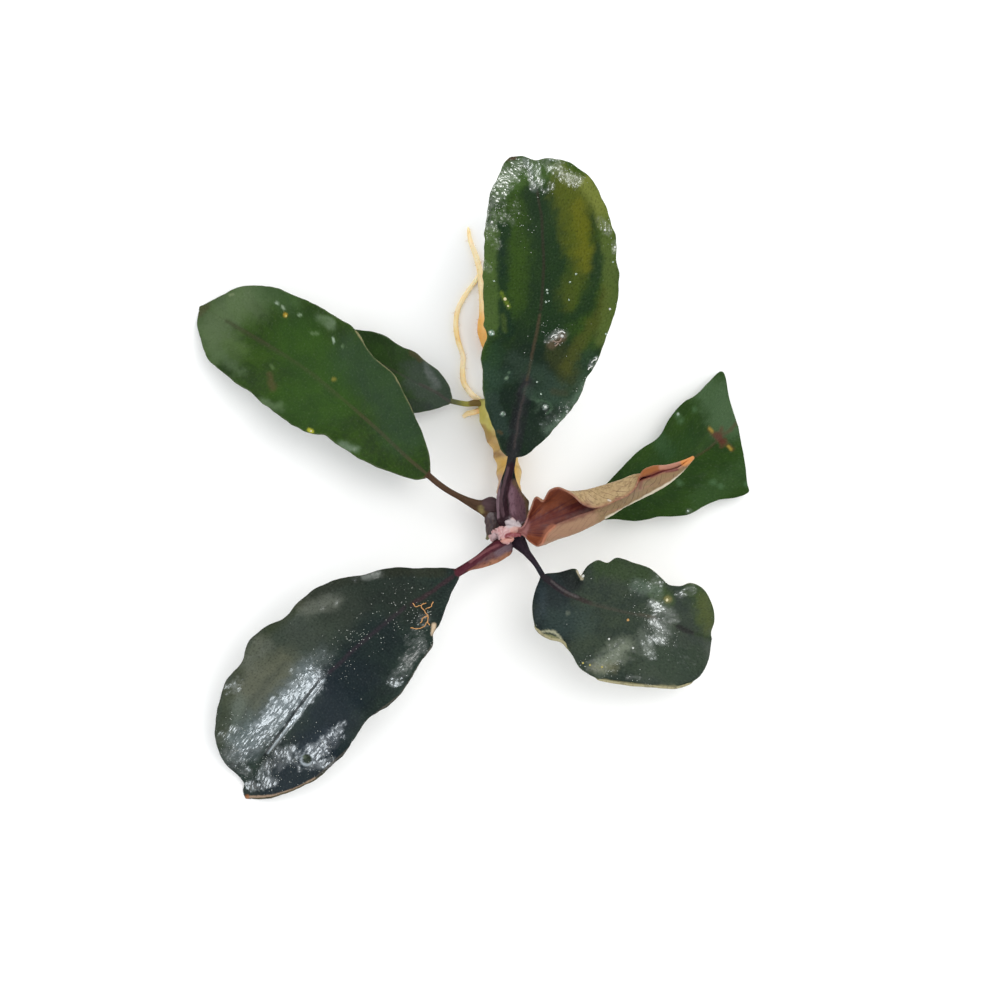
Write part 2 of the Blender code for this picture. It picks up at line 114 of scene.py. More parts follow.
# Each petiole is a list of (x, y, height, radius, left wing, right wing) from the crown to the blade,
# each midrib a list of (x, y, height) from there to the tip, and each margin a list of (x, y) between.
# cup is how far the margins stand above the midrib, and wave how far they rise and fall along it.
LEAVES = {
    "upper_leaf": {
        "petiole": [
            (506.5, 523, 10.9, 0.75, 0.5, 2.3), (505, 511, 11.6, 0.74, 0.5, 2.8),
            (504.5, 499, 12.8, 0.72, 0.5, 2.9), (507, 483, 14.6, 0.7, 0.3, 1.0), (510, 468, 17, 0.68, 0, 0),
            (512, 457, 18.6, 0.65, 0, 0),
        ],
        "midrib": [
            (512, 457, 18.6), (519, 400, 22.4), (531, 355, 24.8), (540, 310, 26.6), (543.5, 265, 27.6),
            (541, 220, 27.6), (535, 185, 26.6), (525, 167, 25.6), (511, 157, 24.6),
        ],
        "left": [
            (502, 449), (493, 428), (487, 410), (483, 390), (482, 370), (481, 354), (487, 338), (484, 324),
            (484, 300), (483, 270), (484, 240), (487, 212), (491, 192), (499, 174), (506, 161),
        ],
        "right": [
            (521, 455.5), (538, 446), (553, 430), (563, 419), (578, 401), (586, 381), (598, 360),
            (607, 336), (613, 318), (618, 298), (619, 278), (616, 258), (616, 238), (609, 215), (600, 193),
            (586, 174), (568, 162), (548, 158), (535, 160), (523, 156),
        ],
        "cup": 0.9, "wave": 0.7, "waves": 5.2, "phases": (0.1, 0.55),
    },
    "left_leaf": {
        "petiole": [
            (491, 506, 9.8, 0.9, 1.1, 0.5), (480, 504, 10, 0.6, 0.7, 0), (458, 496, 10.2, 0.46, 0, 0),
            (440, 485, 10.2, 0.46, 0, 0), (428, 475, 10.2, 0.46, 0, 0),
        ],
        "midrib": [
            (428, 475, 10.2), (410, 460, 11), (378, 430, 11.6), (345, 401, 11.4), (315, 376, 10.4),
            (280, 352, 8.2), (245, 331, 5), (220, 318, 2.4), (200, 307, -0.4),
        ],
        "left": [
            (416, 479), (398, 475), (375, 466), (352, 454), (335, 443), (324, 435), (311, 434), (296, 427),
            (282, 418), (268, 408), (258, 400), (251, 393), (238, 385), (222, 372), (209, 360), (202, 344),
            (197, 324),
        ],
        "right": [
            (429, 456), (422, 432), (413, 411), (401, 386), (393, 373), (378, 361), (368, 350), (357, 331),
            (343, 321), (330, 314), (318, 306), (301, 298), (279, 289), (258, 285), (238, 287), (219, 297),
            (207, 303),
        ],
        "cup": 1.1, "wave": 0.7, "waves": 5.6, "phases": (0.3, 0.0),
    },
    "left_rear_leaf": {
        "petiole": [
            (474.5, 403, 2.2, 0.5, 0, 0), (468, 404, 2.6, 0.42, 0, 0), (460, 403, 3.2, 0.4, 0, 0),
            (451, 401, 3.8, 0.4, 0, 0),
        ],
        "midrib": [(451, 401, 3.8), (430, 391, 4.8), (400, 374, 5), (368, 357, 3.2), (336, 343, 0.2)],
        "left": [(442, 407), (427, 411), (408, 413), (382, 404), (362, 390), (345, 370)],
        "right": [
            (450, 388), (441, 373), (424, 360), (418, 354), (400, 346), (386, 336), (364, 330), (347, 331),
        ],
        "cup": 0.5, "wave": 0.4, "waves": 3.3, "phases": (0.4, 0.1),
    },
    "lower_left_leaf": {
        "petiole": [
            (504, 541, 10.6, 0.75, 1.3, 0.2), (498, 545, 11.2, 0.75, 1.5, 0.1),
            (490, 551, 12.4, 0.72, 1.4, 0.1), (478, 560, 13.8, 0.7, 0.7, 0), (467, 567, 14.8, 0.68, 0, 0),
            (457, 573, 15.6, 0.66, 0, 0),
        ],
        "midrib": [
            (457, 573, 15.6), (430, 592, 17.4), (405, 606, 18.2), (365, 638, 18), (330, 672, 15.8),
            (312, 693, 13.8), (290, 722, 10.4), (272, 748, 6.8), (258, 770, 3.4), (246, 798, -0.3),
        ],
        "left": [
            (452, 590), (444, 613), (439, 626), (433, 634), (433, 645), (422, 660), (411, 678), (401, 694),
            (387, 707), (372, 716), (358, 733), (349, 748), (336, 762), (315, 779), (292, 790), (266, 798),
        ],
        "right": [
            (442, 569), (415, 568), (382, 569), (363, 575), (338, 579), (315, 589), (298, 602), (284, 618),
            (263, 628), (247, 645), (241, 663), (227, 679), (220, 700), (215, 722), (217, 746), (225, 763),
            (238, 775), (244, 784), (243, 791),
        ],
        "cup": -0.6, "wave": 0.8, "waves": 5.4, "phases": (0.35, 0.0),
    },
    "lower_right_leaf": {
        "petiole": [
            (517, 540, 10.2, 0.75, 0.4, 0.5), (521, 545, 10.8, 0.7, 0.3, 0.3), (527, 553, 12, 0.58, 0, 0),
            (535, 563, 13.4, 0.42, 0, 0), (543, 576, 14.6, 0.42, 0, 0),
        ],
        "midrib": [
            (543, 576, 14.6), (562, 591, 16.2), (585, 602, 17), (620, 611, 16.8), (645, 616, 15.4),
            (668, 623, 11.6), (690, 632, 6), (711, 639, -0.4),
        ],
        "left": [
            (560, 572), (577, 570), (580, 576), (590, 564), (598, 560), (607, 563), (615, 558), (634, 563),
            (650, 568), (661, 578), (669, 585), (680, 586), (691, 583), (703, 589), (712, 605), (714, 622),
            (711, 631),
        ],
        "right": [
            (535, 592), (532, 612), (538, 631), (549, 638), (562, 642), (571, 654), (580, 668), (597, 678),
            (622, 684), (650, 686), (679, 687), (698, 678), (708, 661), (710, 648),
        ],
        "cup": -0.9, "wave": 0.9, "waves": 4.2, "phases": (0.15, 0.6),
    },
    "right_leaf": {
        "petiole": [
            (526, 528, 8.8, 0.7, 0.2, 0.2), (540, 527, 9, 0.55, 0, 0), (558, 526, 8.8, 0.5, 0, 0),
            (577, 525, 8.4, 0.5, 0, 0),
        ],
        "midrib": [(577, 525, 8.4), (610, 506, 8.4), (650, 482, 7.2), (695, 457, 4.4), (738, 428, 0.5)],
        "left": [
            (590, 500), (604, 486), (622, 468), (638, 451), (660, 436), (670, 418), (684, 402), (697, 394),
            (707, 384), (721, 371), (729, 399),
        ],
        "right": [
            (592, 521), (613, 519), (637, 521), (658, 517), (687, 515), (705, 506), (718, 500), (735, 498),
            (745, 494.5), (749.2, 492), (748, 485), (744, 460),
        ],
        "cup": -1.2, "wave": 0.4, "waves": 3.2, "phases": (0.2, 0.7),
    },
}

# The youngest leaf is still rolled. Its guide lines (x, y, height) run from foot to tip: the left margin,
# the bulge of the left side, the midrib underneath, the bulge of the right side and the right margin.
YOUNG_LEAF = [
    [
        (522, 527, 12.6), (530, 510, 14.8), (537.5, 497.5, 16.6), (541, 501, 16.6), (550, 490, 18.2),
        (557, 487.5, 19), (566, 491, 19.6), (575, 497.5, 20), (583, 505, 20), (591, 508, 20),
        (602, 507, 20.6), (616, 501, 21.4), (629, 495, 22), (636, 487, 22.6), (638.5, 478, 23.2),
        (643, 470, 24), (652, 466, 24.2), (666, 465, 24.2), (682, 461, 24.6), (695, 456, 24.8),
    ],
    [
        (522, 529, 12.2), (533, 514, 13.4), (548, 502, 14.8), (563, 494.5, 16.4), (578, 492.5, 17.6),
        (600, 487, 18.6), (620, 481, 19.8), (636, 475, 21), (648, 475.5, 22.9), (664, 470.5, 23.6),
        (680, 464, 24.2), (695, 456, 24.6),
    ],
    [
        (522, 531, 12), (540, 524, 13), (562, 516, 14), (588, 506, 15.4), (618, 493, 17.6),
        (648, 481.5, 20), (672, 471, 22.2), (695, 456, 24.4),
    ],
    [
        (522, 533, 12.2), (531, 539, 13.2), (542, 543, 14.8), (558, 538.5, 15.6), (580, 531, 16.4),
        (605, 518, 17.8), (625, 506, 19.2), (648, 494.5, 20.8), (667, 484, 22.2), (682, 471, 23.4),
        (695, 456, 24.6),
    ],
    [
        (522, 535, 12.6), (530, 542, 14), (537, 546, 15.6), (541, 544, 16.8), (545, 535, 17.6),
        (554, 525.5, 18), (566, 520, 18.2), (578, 515, 18.4), (590, 511, 18.6), (606, 503, 19.4),
        (622, 493, 20.4), (640, 480, 22.4), (652, 476, 23.5), (664, 471.5, 24.0), (678, 468, 24.4),
        (687, 462, 24.7), (695, 456, 24.8),
    ],
]

# The rhizome (x, y, height, radius) from the crown to its cut old end, and its leaf scars on the way
RHIZOME = [
    (508, 530, 9.9, 0.5), (508, 526, 9.6, 1.25), (508.5, 514, 8.6, 1.5), (509, 495, 6.8, 1.72),
    (509, 472, 4.0, 1.78), (504, 449, 2.0, 1.76), (495, 430, 1.4, 1.72), (490.5, 417, 1.25, 1.66),
    (488, 407, 1.2, 1.58), (487, 399.5, 1.1, 1.46),
]
SCARS = 7
SCAR_RISE = 0.07

# The roots (x, y, height, radius), which lie on the table
ROOTS = {
    "main_root": [
        (501.5, 406, 0.75, 0.5), (501.5, 394, 0.6, 0.5), (498.5, 378, 0.6, 0.52), (493, 360, 0.8, 0.72),
        (488, 344, 1.1, 1.05), (485.5, 329, 1.35, 1.3), (484, 315, 0.85, 0.8), (482.5, 300, 0.6, 0.55),
        (481.5, 287, 0.54, 0.5), (480, 272, 0.5, 0.46), (476, 256, 0.46, 0.42), (471, 243, 0.4, 0.36),
        (468, 227, 0.3, 0.22),
    ],
    "looping_root": [
        (473.5, 396, 1.3, 0.46), (469, 391, 0.9, 0.44), (464, 383, 0.55, 0.42), (462.5, 370, 0.46, 0.42),
        (463, 357, 0.44, 0.4), (458.5, 342, 0.44, 0.4), (456, 328, 0.42, 0.4), (457.5, 311, 0.42, 0.4),
        (463, 299, 0.42, 0.38), (471, 287, 0.42, 0.34),
    ],
    "root_stub": [(474.5, 412, 1.2, 0.42), (468, 413.5, 0.7, 0.38), (463, 417, 0.4, 0.3)],
}

# Where the roots' ends lie inside the stem, and where the looping root meets the main root
ROOT_SEATS = {
    "main_root": ([(494, 413, 1.1, 0.5)], []),
    "looping_root": ([(479.5, 400, 1.0, 0.42)],
                     [(476.5, 279.5, 0.42, 0.34), (480, 272.5, 0.44, 0.3)]),
    "root_stub": ([(484, 409, 1.2, 0.4)], []),
}

# The two scale leaves of the crown: midrib (x, y, height, half width), how far the margins bend down, the
# thickness in mm and how jagged the margins are
SCALES = {
    "dark_scale": ([
        (491, 506, 9.6, 0.9), (492.5, 515, 9.9, 1.25), (493, 524, 9.7, 1.2), (490.5, 532, 9.1, 0.75),
        (487, 540, 8, 0.1),
    ], -0.5, 0.3, 0.1),
    "papery_scale": ([
        (519, 527, 12.2, 0.3), (513, 529, 12.5, 0.8), (507, 533, 12.5, 0.9), (502, 540, 12.2, 0.3),
    ], -0.25, 0.14, 0.6),
}

# Torn bits of papery scale round the crown, as the scales are given
FLAPS = [
    ([(503, 526, 12.0, 0.5), (501.5, 533, 12.3, 0.8), (499, 540, 11.8, 0.25)], -0.5, 0.08, 0.9),
    ([(497, 530, 11.4, 0.5), (494, 536, 11.5, 0.7), (492, 542, 10.8, 0.2)], -0.5, 0.08, 0.7),
    ([(505, 521, 12.0, 0.5), (512, 524, 12.3, 0.7), (521, 527, 12.3, 0.3)], -0.4, 0.08, 0.7),
    ([(506, 536.5, 12.6, 0.2), (512, 535, 12.9, 0.34), (521, 535, 12.8, 0.25)], -0.3, 0.16, 0.3),
    ([(500, 541, 12.0, 0.3), (506, 541, 12.4, 0.5), (514, 538, 12.5, 0.3)], -0.4, 0.08, 0.8),
]

# Where each petiole's foot is seated in the stem (x, y, height), and the five guides of the young leaf
SEATS = {
    "upper_leaf": (507, 529, 10.6), "left_leaf": (499, 509, 9.0), "left_rear_leaf": (482, 404, 1.9),
    "lower_left_leaf": (508, 537, 10.3), "lower_right_leaf": (513, 537, 10.0),
    "right_leaf": (515, 529, 8.9),
}
YOUNG_SEAT = [(514, 530, 12), (514, 531, 11.7), (514, 532, 11.6), (514, 533, 11.7), (514, 534, 12)]

# Fine relief of a blade, in mm: broad hollows and their size, wrinkles and their size across and along,
# the side veins, the frill of the margin, the depth of the midrib's groove and where it starts and ends,
# and how much of the midrib stands up on the upper side. curls are stretches of margin that curl upward
# (side, traced line, length, turn in degrees), and blisters are small domes (x, y, radius, height).
PLAIN_RELIEF = {
    "hollow": 0.14, "hollow_size": 6, "wrinkle": 0.012, "wrinkle_size": (1.3, 2.0), "vein": 0.012,
    "frill": 0.14, "groove": 0.03, "groove_ends": (0, 0.5), "rib_up": 0.15, "curls": [], "blisters": [],
}
RELIEFS = {
    "upper_leaf": {
        "hollow": 0.2, "wrinkle": 0.035, "wrinkle_size": (1.1, 1.7), "frill": 0.24,
        "blisters": [(545, 407, 3, 0.2), (502.5, 414, 2.8, 0.2), (491, 333, 3, 0.2)],
    },
    "left_leaf": {"hollow": 0.15, "hollow_size": 7, "wrinkle": 0.014, "frill": 0.16},
    "left_rear_leaf": {
        "hollow": 0.12, "wrinkle_size": (1.5, 2.5), "frill": 0.12, "groove": 0.05, "groove_ends": (0, 0.6),
        "rib_up": 0.2,
    },
    "lower_left_leaf": {
        "hollow": 0.26, "hollow_size": 5.5, "wrinkle": 0.055, "wrinkle_size": (0.7, 1.8), "vein": 0.01,
        "frill": 0.16, "groove": 0.12, "groove_ends": (0.46, 0.9), "rib_up": 0.0,
        "curls": [("left", [(320, 776), (292, 790), (250, 798)], 0.34, 110)],
        "blisters": [(306, 760, 6.0, 0.34), (250, 771, 5, 0.3), (258, 784, 4, 0.25)],
    },
    "lower_right_leaf": {
        "hollow": 0.36, "wrinkle": 0.04, "wrinkle_size": (0.9, 1.4), "vein": 0.01, "groove": 0.0,
        "groove_ends": (0, 1), "rib_up": 0.8, "blisters": [(568, 613, 3, 0.15)],
        "curls": [
            ("right", [(541, 633), (549, 638), (562, 642)], 1.5, 150),
            ("right", [(606, 681), (650, 686), (684, 686)], 0.8, 165),
        ],
    },
    "right_leaf": {"vein": 0.014, "groove_ends": (0, 0.6), "rib_up": 0.2},
}

# How bright the stage shows a white surface
STAGE_LIGHT = 1.38


def srgb(red, green, blue):
    """The surface colour that the stage shows as these screen values from 0 to 255."""
    shares = [value / 255 for value in (red, green, blue)]
    linear = [s / 12.92 if s <= 0.04045 else ((s + 0.055) / 1.055) ** 2.4 for s in shares]
    return tuple(share / STAGE_LIGHT for share in linear)


# Screen colours of each leaf: deep and bright green, midrib, rim, underside and petiole
LEAF_COLOURS = {
    "upper_leaf": [(30, 54, 20), (54, 82, 22), (66, 58, 44), (96, 112, 66), (92, 98, 66), (54, 32, 38)],
    "left_leaf": [(40, 61, 26), (54, 82, 24), (78, 74, 50), (96, 108, 76), (100, 106, 72), (84, 62, 46)],
    "left_rear_leaf": [(45, 67, 33), (54, 82, 35), (80, 72, 66), (88, 98, 72), (84, 90, 62), (178, 172, 84)],
    "lower_left_leaf": [(29, 40, 38), (43, 58, 50), (44, 36, 40), (64, 66, 50), (96, 92, 66), (80, 36, 42)],
    "lower_right_leaf": [
        (48, 59, 51), (62, 73, 58), (74, 70, 60), (110, 116, 80), (176, 168, 132), (52, 40, 50),
    ],
    "right_leaf": [(34, 60, 20), (46, 74, 22), (68, 72, 42), (104, 124, 84), (98, 110, 72), (84, 62, 50)],
}

# Finish of a leaf: half widths of the midrib in mm at foot and tip, how clear it, the rim and the side
# veins are and how far it fades towards the tip, roughness from wet to dry, strength of the mirror light
# where it is wet, height of the grain in mm, how many times as wide and long its grains are, and how
# strong the pale pinpoints, partly specks and partly painted glints, and the dark pores are
PLAIN_LOOK = {
    "rib_widths": (0.3, 0.1), "rib_show": 0.6, "rim_show": 0.35, "vein_show": 0.05, "rib_fade": 0.7,
    "roughness": (0.25, 0.5), "mirror": 0.35, "grain": 0.009, "grain_shape": (1.0, 1.0),
    "pale_specks_and_glints": 0.012, "pores": 0.45,
}
LOOKS = {
    "upper_leaf": {
        "rib_widths": (0.32, 0.1), "rib_show": 0.9, "rim_show": 0.3, "rib_fade": 0.2,
        "roughness": (0.08, 0.46), "mirror": 1.0, "grain": 0.05, "grain_shape": (1.3, 1.3),
    },
    "left_leaf": {"rib_show": 0.85, "rib_fade": 0.8, "pores": 0.18},
    "left_rear_leaf": {
        "rib_widths": (0.2, 0.1), "rib_show": 0.5, "vein_show": 0.06, "mirror": 0.4, "grain": 0.008,
        "pores": 0.18,
    },
    "lower_left_leaf": {
        "rib_widths": (0.3, 0.14), "rib_show": 0.3, "rim_show": 0.5, "vein_show": 0.03,
        "roughness": (0.08, 0.42), "mirror": 0.8, "grain": 0.05, "grain_shape": (1.0, 2.0),
        "pale_specks_and_glints": 0.14,
    },
    "lower_right_leaf": {
        "rib_widths": (0.16, 0.1), "rim_show": 0.3, "vein_show": 0.04, "rib_fade": 0.4,
        "roughness": (0.08, 0.42), "mirror": 0.9, "grain": 0.045, "grain_shape": (1.2, 1.2),
        "pale_specks_and_glints": 0.04,
    },
    "right_leaf": {
        "rib_widths": (0.2, 0.12), "rim_show": 0.4, "vein_show": 0.06, "rib_fade": 0.5,
        "pale_specks_and_glints": 0.01, "pores": 0.25,
    },
}

# Strokes laid over one another on each piece: half width, soft edge, strength, screen colour, traced line
# Some strokes are painted sheens, highlights and shade rather than markings, each marked where it stands
STROKES = {
    "upper_leaf": [
        (6, 14, 0.55, (76, 104, 50), (500, 186), (516, 172), (560, 170)),
        (4, 12, 0.6, (98, 108, 34), (560, 172), (578, 184), (588, 200)),
        (24, 44, 0.9, (20, 37, 28), (512, 452), (520, 425), (527, 395), (536, 372)),
        (8, 18, 0.5, (42, 66, 50), (566, 400), (588, 368)),
        (6, 22, 0.8, (26, 50, 26), (545, 200), (550, 240), (552, 280), (549, 330)),
        (4, 14, 0.6, (28, 50, 26), (530, 200), (530, 260), (527, 330)),
        (7, 18, 0.75, (86, 94, 16), (566, 190), (574, 215), (580, 245)),
        (2, 16, 0.6, (78, 88, 22), (582, 248), (580, 272), (568, 300)),
        (1, 12, 0.5, (112, 112, 16), (578, 206), (584, 238), (584, 266)),
        (4, 14, 0.55, (62, 68, 28), (556, 356), (568, 378)),
        (3.5, 9, 0.8, (126, 134, 58), (588, 182), (599, 203), (607, 224)),
        (0.4, 6, 0.5, (34, 56, 24), (593, 216), (598, 246)),
        (1.6, 8, 0.75, (30, 54, 26), (598, 248), (597, 275), (588, 298), (576, 318)),
        (2, 9, 0.55, (82, 84, 28), (604, 292), (603, 310), (592, 326), (577, 348), (566, 368)),
        (4, 8, 0.7, (90, 106, 46), (606, 222), (611, 260), (611, 300), (603, 338)),
        (2, 11, 0.8, (18, 44, 28), (503, 228), (503, 280), (507, 330)),
        (3, 15, 0.5, (58, 84, 20), (517, 205), (518, 250), (516, 300)),
        (5, 7, 0.7, (82, 106, 50), (490, 235), (489, 270), (490, 325)),
        (0.3, 4, 0.4, (88, 108, 44), (503, 316), (505, 330)),
        (3, 12, 0.5, (42, 70, 50), (494, 350), (490, 385)),
        (2, 8, 0.75, (46, 44, 48), (511, 462), (514, 440), (519, 412), (527, 380)),
        (1, 3, 0.6, (24, 28, 30), (509, 450), (512, 425), (519, 395)),
        (1, 3, 0.6, (24, 28, 30), (519, 450), (524, 425), (530, 395)),
        (0.2, 2, 0.5, (76, 66, 64), (514, 448), (519, 415), (527, 384)),
        (0.5, 1.8, 0.6, (84, 70, 52), (527, 380), (533, 350), (540, 315)),
        (0.4, 1.8, 0.7, (50, 48, 34), (541, 310), (544, 265), (542, 220), (537, 190)),
        (1, 11, 0.35, (80, 98, 82), (548, 428), (562, 413), (576, 398), (588, 380)),
        (0.2, 4, 0.5, (78, 100, 80), (533, 398), (541, 404), (536, 411)),
        (3, 9, 0.5, (54, 72, 58), (512, 358), (524, 364), (520, 372)),
        (3, 10, 0.5, (48, 70, 56), (486, 372), (496, 380), (506, 376)),
        (4, 10, 0.55, (56, 76, 62), (538, 374), (548, 382), (560, 390)),
        (3, 9, 0.5, (54, 72, 64), (490, 398), (496, 414), (504, 430)),
        (2, 8, 0.45, (62, 84, 68), (530, 392), (546, 396), (556, 404)),
        (3, 8, 0.5, (22, 36, 26), (540, 412), (556, 412)),
        (2, 7, 0.5, (24, 38, 30), (508, 396), (514, 404)),
        # Painted highlights on the pale ridges of the lower right margin
        (0.6, 4, 0.5, (100, 122, 102), (574, 402), (580, 392), (584, 384)),
        (1, 5, 0.55, (96, 116, 98), (548, 430), (556, 424), (564, 417)),
        (1, 5, 0.45, (66, 64, 42), (553, 392), (565, 393)),
        (0.5, 2.5, 0.6, (84, 70, 44), (499, 431), (501, 433)), (1.9, 1.2, 0.9, (104, 142, 118), (491, 333)),
        (1.6, 1.8, 0.8, (140, 162, 146), (545, 407)),
        (0.3, 1.6, 0.7, (72, 98, 74), (537, 401), (542, 400), (549, 403), (552, 409), (547, 414)),
        (1.4, 1.6, 0.75, (120, 146, 126), (502.5, 414)), (1.1, 1.6, 0.7, (128, 152, 126), (506.5, 378)),
        (0.5, 1.6, 0.6, (104, 130, 106), (509, 372.5)),
        # Painted glint on the midrib near the tip
        (1, 4, 0.5, (92, 104, 96), (525, 160), (530, 172), (535, 190)),
        (1.4, 2.4, 0.9, (80, 58, 42), (508, 158.5), (514, 157)),
        (0.3, 2.4, 0.7, (122, 142, 40), (501, 293), (505, 300), (509, 307)),
        (2.2, 4, 0.85, (92, 80, 60), (552, 345), (557, 340), (563, 337)),
        (3, 2, 0.75, (150, 122, 132), (497, 482), (495.5, 500), (496, 515)),
        (7, 3, 0.95, (112, 80, 90), (515, 488), (518, 503), (519, 522)),
        (1.2, 3.5, 0.6, (150, 116, 130), (511, 490), (513, 512)),
        (2, 3, 0.7, (186, 172, 178), (508, 520), (514, 524), (520, 526)),
        (2, 3, 0.8, (104, 84, 58), (516, 482), (525, 495), (530, 508), (530, 520)),
        (3, 2, 0.9, (50, 28, 36), (506, 526), (503, 500), (507, 483), (511, 466)),
        # Painted highlight along the dark petiole
        (0.8, 1.5, 0.6, (112, 84, 92), (503, 515), (500.5, 500), (504, 484), (508, 468)),
    ],
    "left_leaf": [
        # Painted sheen over the tip
        (2, 36, 0.6, (112, 132, 94), (214, 330), (226, 310), (248, 296)),
        (0.8, 3, 0.55, (64, 68, 44), (226, 321), (250, 335), (290, 359), (313, 375), (338, 397)),
        (4, 16, 0.5, (74, 102, 60), (262, 290), (290, 300)),
        (10, 26, 0.6, (53, 76, 54), (355, 358), (385, 392), (405, 430)),
        (14, 26, 0.45, (52, 88, 28), (300, 340), (330, 400), (300, 400)),
        (0.6, 1.6, 0.85, (170, 160, 118), (357, 330.5), (368, 348.5), (378, 359.5), (393, 372),
         (401, 385), (414, 411)),
        (1.2, 2.2, 0.95, (196, 156, 50), (285.5, 315)), (0.6, 3, 0.75, (150, 140, 58), (334, 379.5)),
        (0.7, 2.2, 0.9, (196, 196, 62), (309, 430), (312, 431.5)),
        # Painted sheens on two glossy spots, this stroke and the next
        (0.2, 8, 0.5, (118, 142, 106), (319, 317), (326, 320), (331, 324)),
        (0.3, 8, 0.5, (108, 132, 92), (264, 402), (272, 406), (279, 406)),
        (0.3, 12, 0.5, (98, 120, 84), (222, 356), (230, 364), (238, 372)),
        # Painted sheen on a glossy spot
        (0.2, 7, 0.55, (126, 148, 122), (341, 445), (349, 447), (356, 449)),
        (0.5, 10, 0.5, (92, 112, 76), (210, 345), (216, 358)),
        (2, 14, 0.5, (94, 118, 68), (230, 344), (240, 350)),
        (0.4, 1.6, 0.85, (170, 188, 164), (276, 303), (278, 303.5)),
        (0.3, 1.6, 0.8, (160, 178, 150), (282, 306.5), (284, 309)),
        (0.3, 1.8, 0.8, (150, 172, 140), (298.5, 315), (301, 315)),
        (0.4, 2.6, 0.6, (116, 140, 98), (312, 333), (317, 334)),
        (0.4, 1.5, 0.9, (170, 190, 166), (333, 338), (334, 342)),
        (0.4, 2.2, 0.6, (120, 146, 108), (342, 346)),
        (0.3, 2.4, 0.6, (136, 150, 112), (230, 295), (233, 294)),
        (0.3, 2.4, 0.5, (104, 130, 80), (271, 365), (273, 368)),
        (0.6, 6, 0.55, (92, 80, 50), (270, 376), (272, 388)),
        (3, 6, 0.5, (84, 74, 56), (197, 312), (204, 303)),
        (6, 4, 0.85, (84, 64, 70), (489, 503), (497, 508)),
        (1.2, 3, 0.8, (152, 138, 90), (480, 508), (482, 511)),
    ],
    "left_rear_leaf": [
        (12, 18, 0.75, (74, 86, 76), (424, 378), (436, 388), (440, 398)),
        # Painted highlight: the light streak near the foot
        (0.6, 6, 0.6, (104, 112, 108), (426, 364), (431, 376), (437, 386)),
        (2.5, 4, 0.6, (96, 84, 60), (414, 351), (420, 357)),
        (0.5, 2, 0.6, (86, 80, 76), (450, 402), (436, 392), (420, 384)),
        (3, 6, 0.6, (52, 60, 56), (404, 404), (428, 409)),
        (3, 3, 0.8, (120, 88, 56), (482, 404), (473, 403)),
    ],
    "lower_left_leaf": [
        # Painted sheen: broad olive-grey and pale glare over the upper left of the leaf
        (16, 34, 0.7, (70, 78, 66), (330, 600), (296, 630), (262, 670), (236, 725)),
        (6, 26, 0.72, (106, 108, 88), (244, 694), (262, 680), (282, 670)),
        (3, 20, 0.6, (106, 118, 108), (238, 708), (240, 735)),
        (0.5, 5, 0.45, (64, 70, 60), (236, 735), (252, 700), (284, 664)),
        (2, 8, 0.6, (54, 62, 38), (298, 606), (264, 634), (243, 664), (228, 700), (221, 740)),
        (2, 7, 0.6, (50, 52, 36), (300, 604), (338, 582), (372, 574), (410, 571), (440, 572)),
        (10, 24, 0.6, (38, 46, 38), (330, 600), (380, 590), (410, 600)),
        # Painted sheen: soft grey and grey-blue patches along the upper margin and over the middle
        (0.2, 13, 0.5, (122, 126, 114), (304, 610), (318, 606), (333, 602)),
        (0.6, 6, 0.65, (134, 140, 134), (364, 577), (376, 574)),
        (0.2, 17, 0.5, (116, 120, 106), (246, 660), (262, 644)),
        (0.2, 17, 0.5, (92, 102, 100), (298, 669), (324, 656)),
        (3, 22, 0.5, (104, 118, 126), (306, 680), (276, 712), (244, 744)),
        (2, 16, 0.45, (92, 108, 122), (308, 754), (328, 738)),
        # Painted highlight along the right wall of the midrib's crease, then painted shade in the crease
        (0.2, 1.5, 0.8, (184, 196, 202), (325, 679), (300, 711), (283, 734), (268, 753)),
        (0.2, 1.6, 0.8, (16, 22, 28), (321, 677), (297, 709), (279, 734), (264, 756)),
        (12, 24, 0.8, (18, 32, 42), (350, 680), (330, 720), (310, 770), (285, 785)),
        # After the dark patch, a painted reflection: the pale ring round the blister at (306, 760), and
        # further on a small painted highlight on it
        (12, 22, 0.6, (26, 38, 40), (380, 640), (360, 670)), (5.6, 1.2, 0.85, (190, 200, 208), (306, 760)),
        (4.3, 1.2, 1.0, (44, 54, 42), (306.8, 759)), (0.8, 1.6, 0.7, (120, 132, 112), (304, 757)),
        (0.4, 3, 0.45, (62, 46, 58), (330, 672), (365, 640), (405, 607)),
        (0.4, 1.5, 0.85, (186, 158, 132), (246, 797.5), (275, 795.5), (296, 788.5), (315, 778.5)),
        (0.2, 1.4, 0.4, (120, 110, 98), (315, 778.5), (349, 748), (372, 717), (401, 694), (422, 661),
         (434, 642)),
        (0.5, 3, 0.6, (66, 42, 50), (452, 577), (438, 587), (425, 596), (412, 604)),
        (1.2, 1.8, 0.95, (226, 200, 168), (434, 625), (433, 634)),
        (1.5, 2, 0.8, (170, 110, 70), (247, 797)),
        (3, 5, 0.8, (120, 86, 88), (502, 552), (494, 557), (482, 564)),
        (0.8, 4.5, 0.85, (182, 128, 98), (508, 555), (499, 560), (486, 567), (472, 572)),
        (2, 5, 0.8, (132, 112, 122), (515, 545), (506, 548), (498, 552)),
        (1.6, 2, 0.6, (150, 96, 80), (484, 564), (472, 570)),
        (2.5, 2, 0.9, (88, 38, 50), (506, 541), (488, 551), (472, 563), (458, 573)),
        (0.6, 1.5, 0.6, (150, 96, 100), (498, 545), (486, 551), (470, 562)),
    ],
    "lower_right_leaf": [
        (12, 22, 0.85, (30, 40, 44), (548, 588), (553, 604), (551, 622)),
        (5, 8, 0.8, (26, 32, 32), (566, 574), (574, 582)),
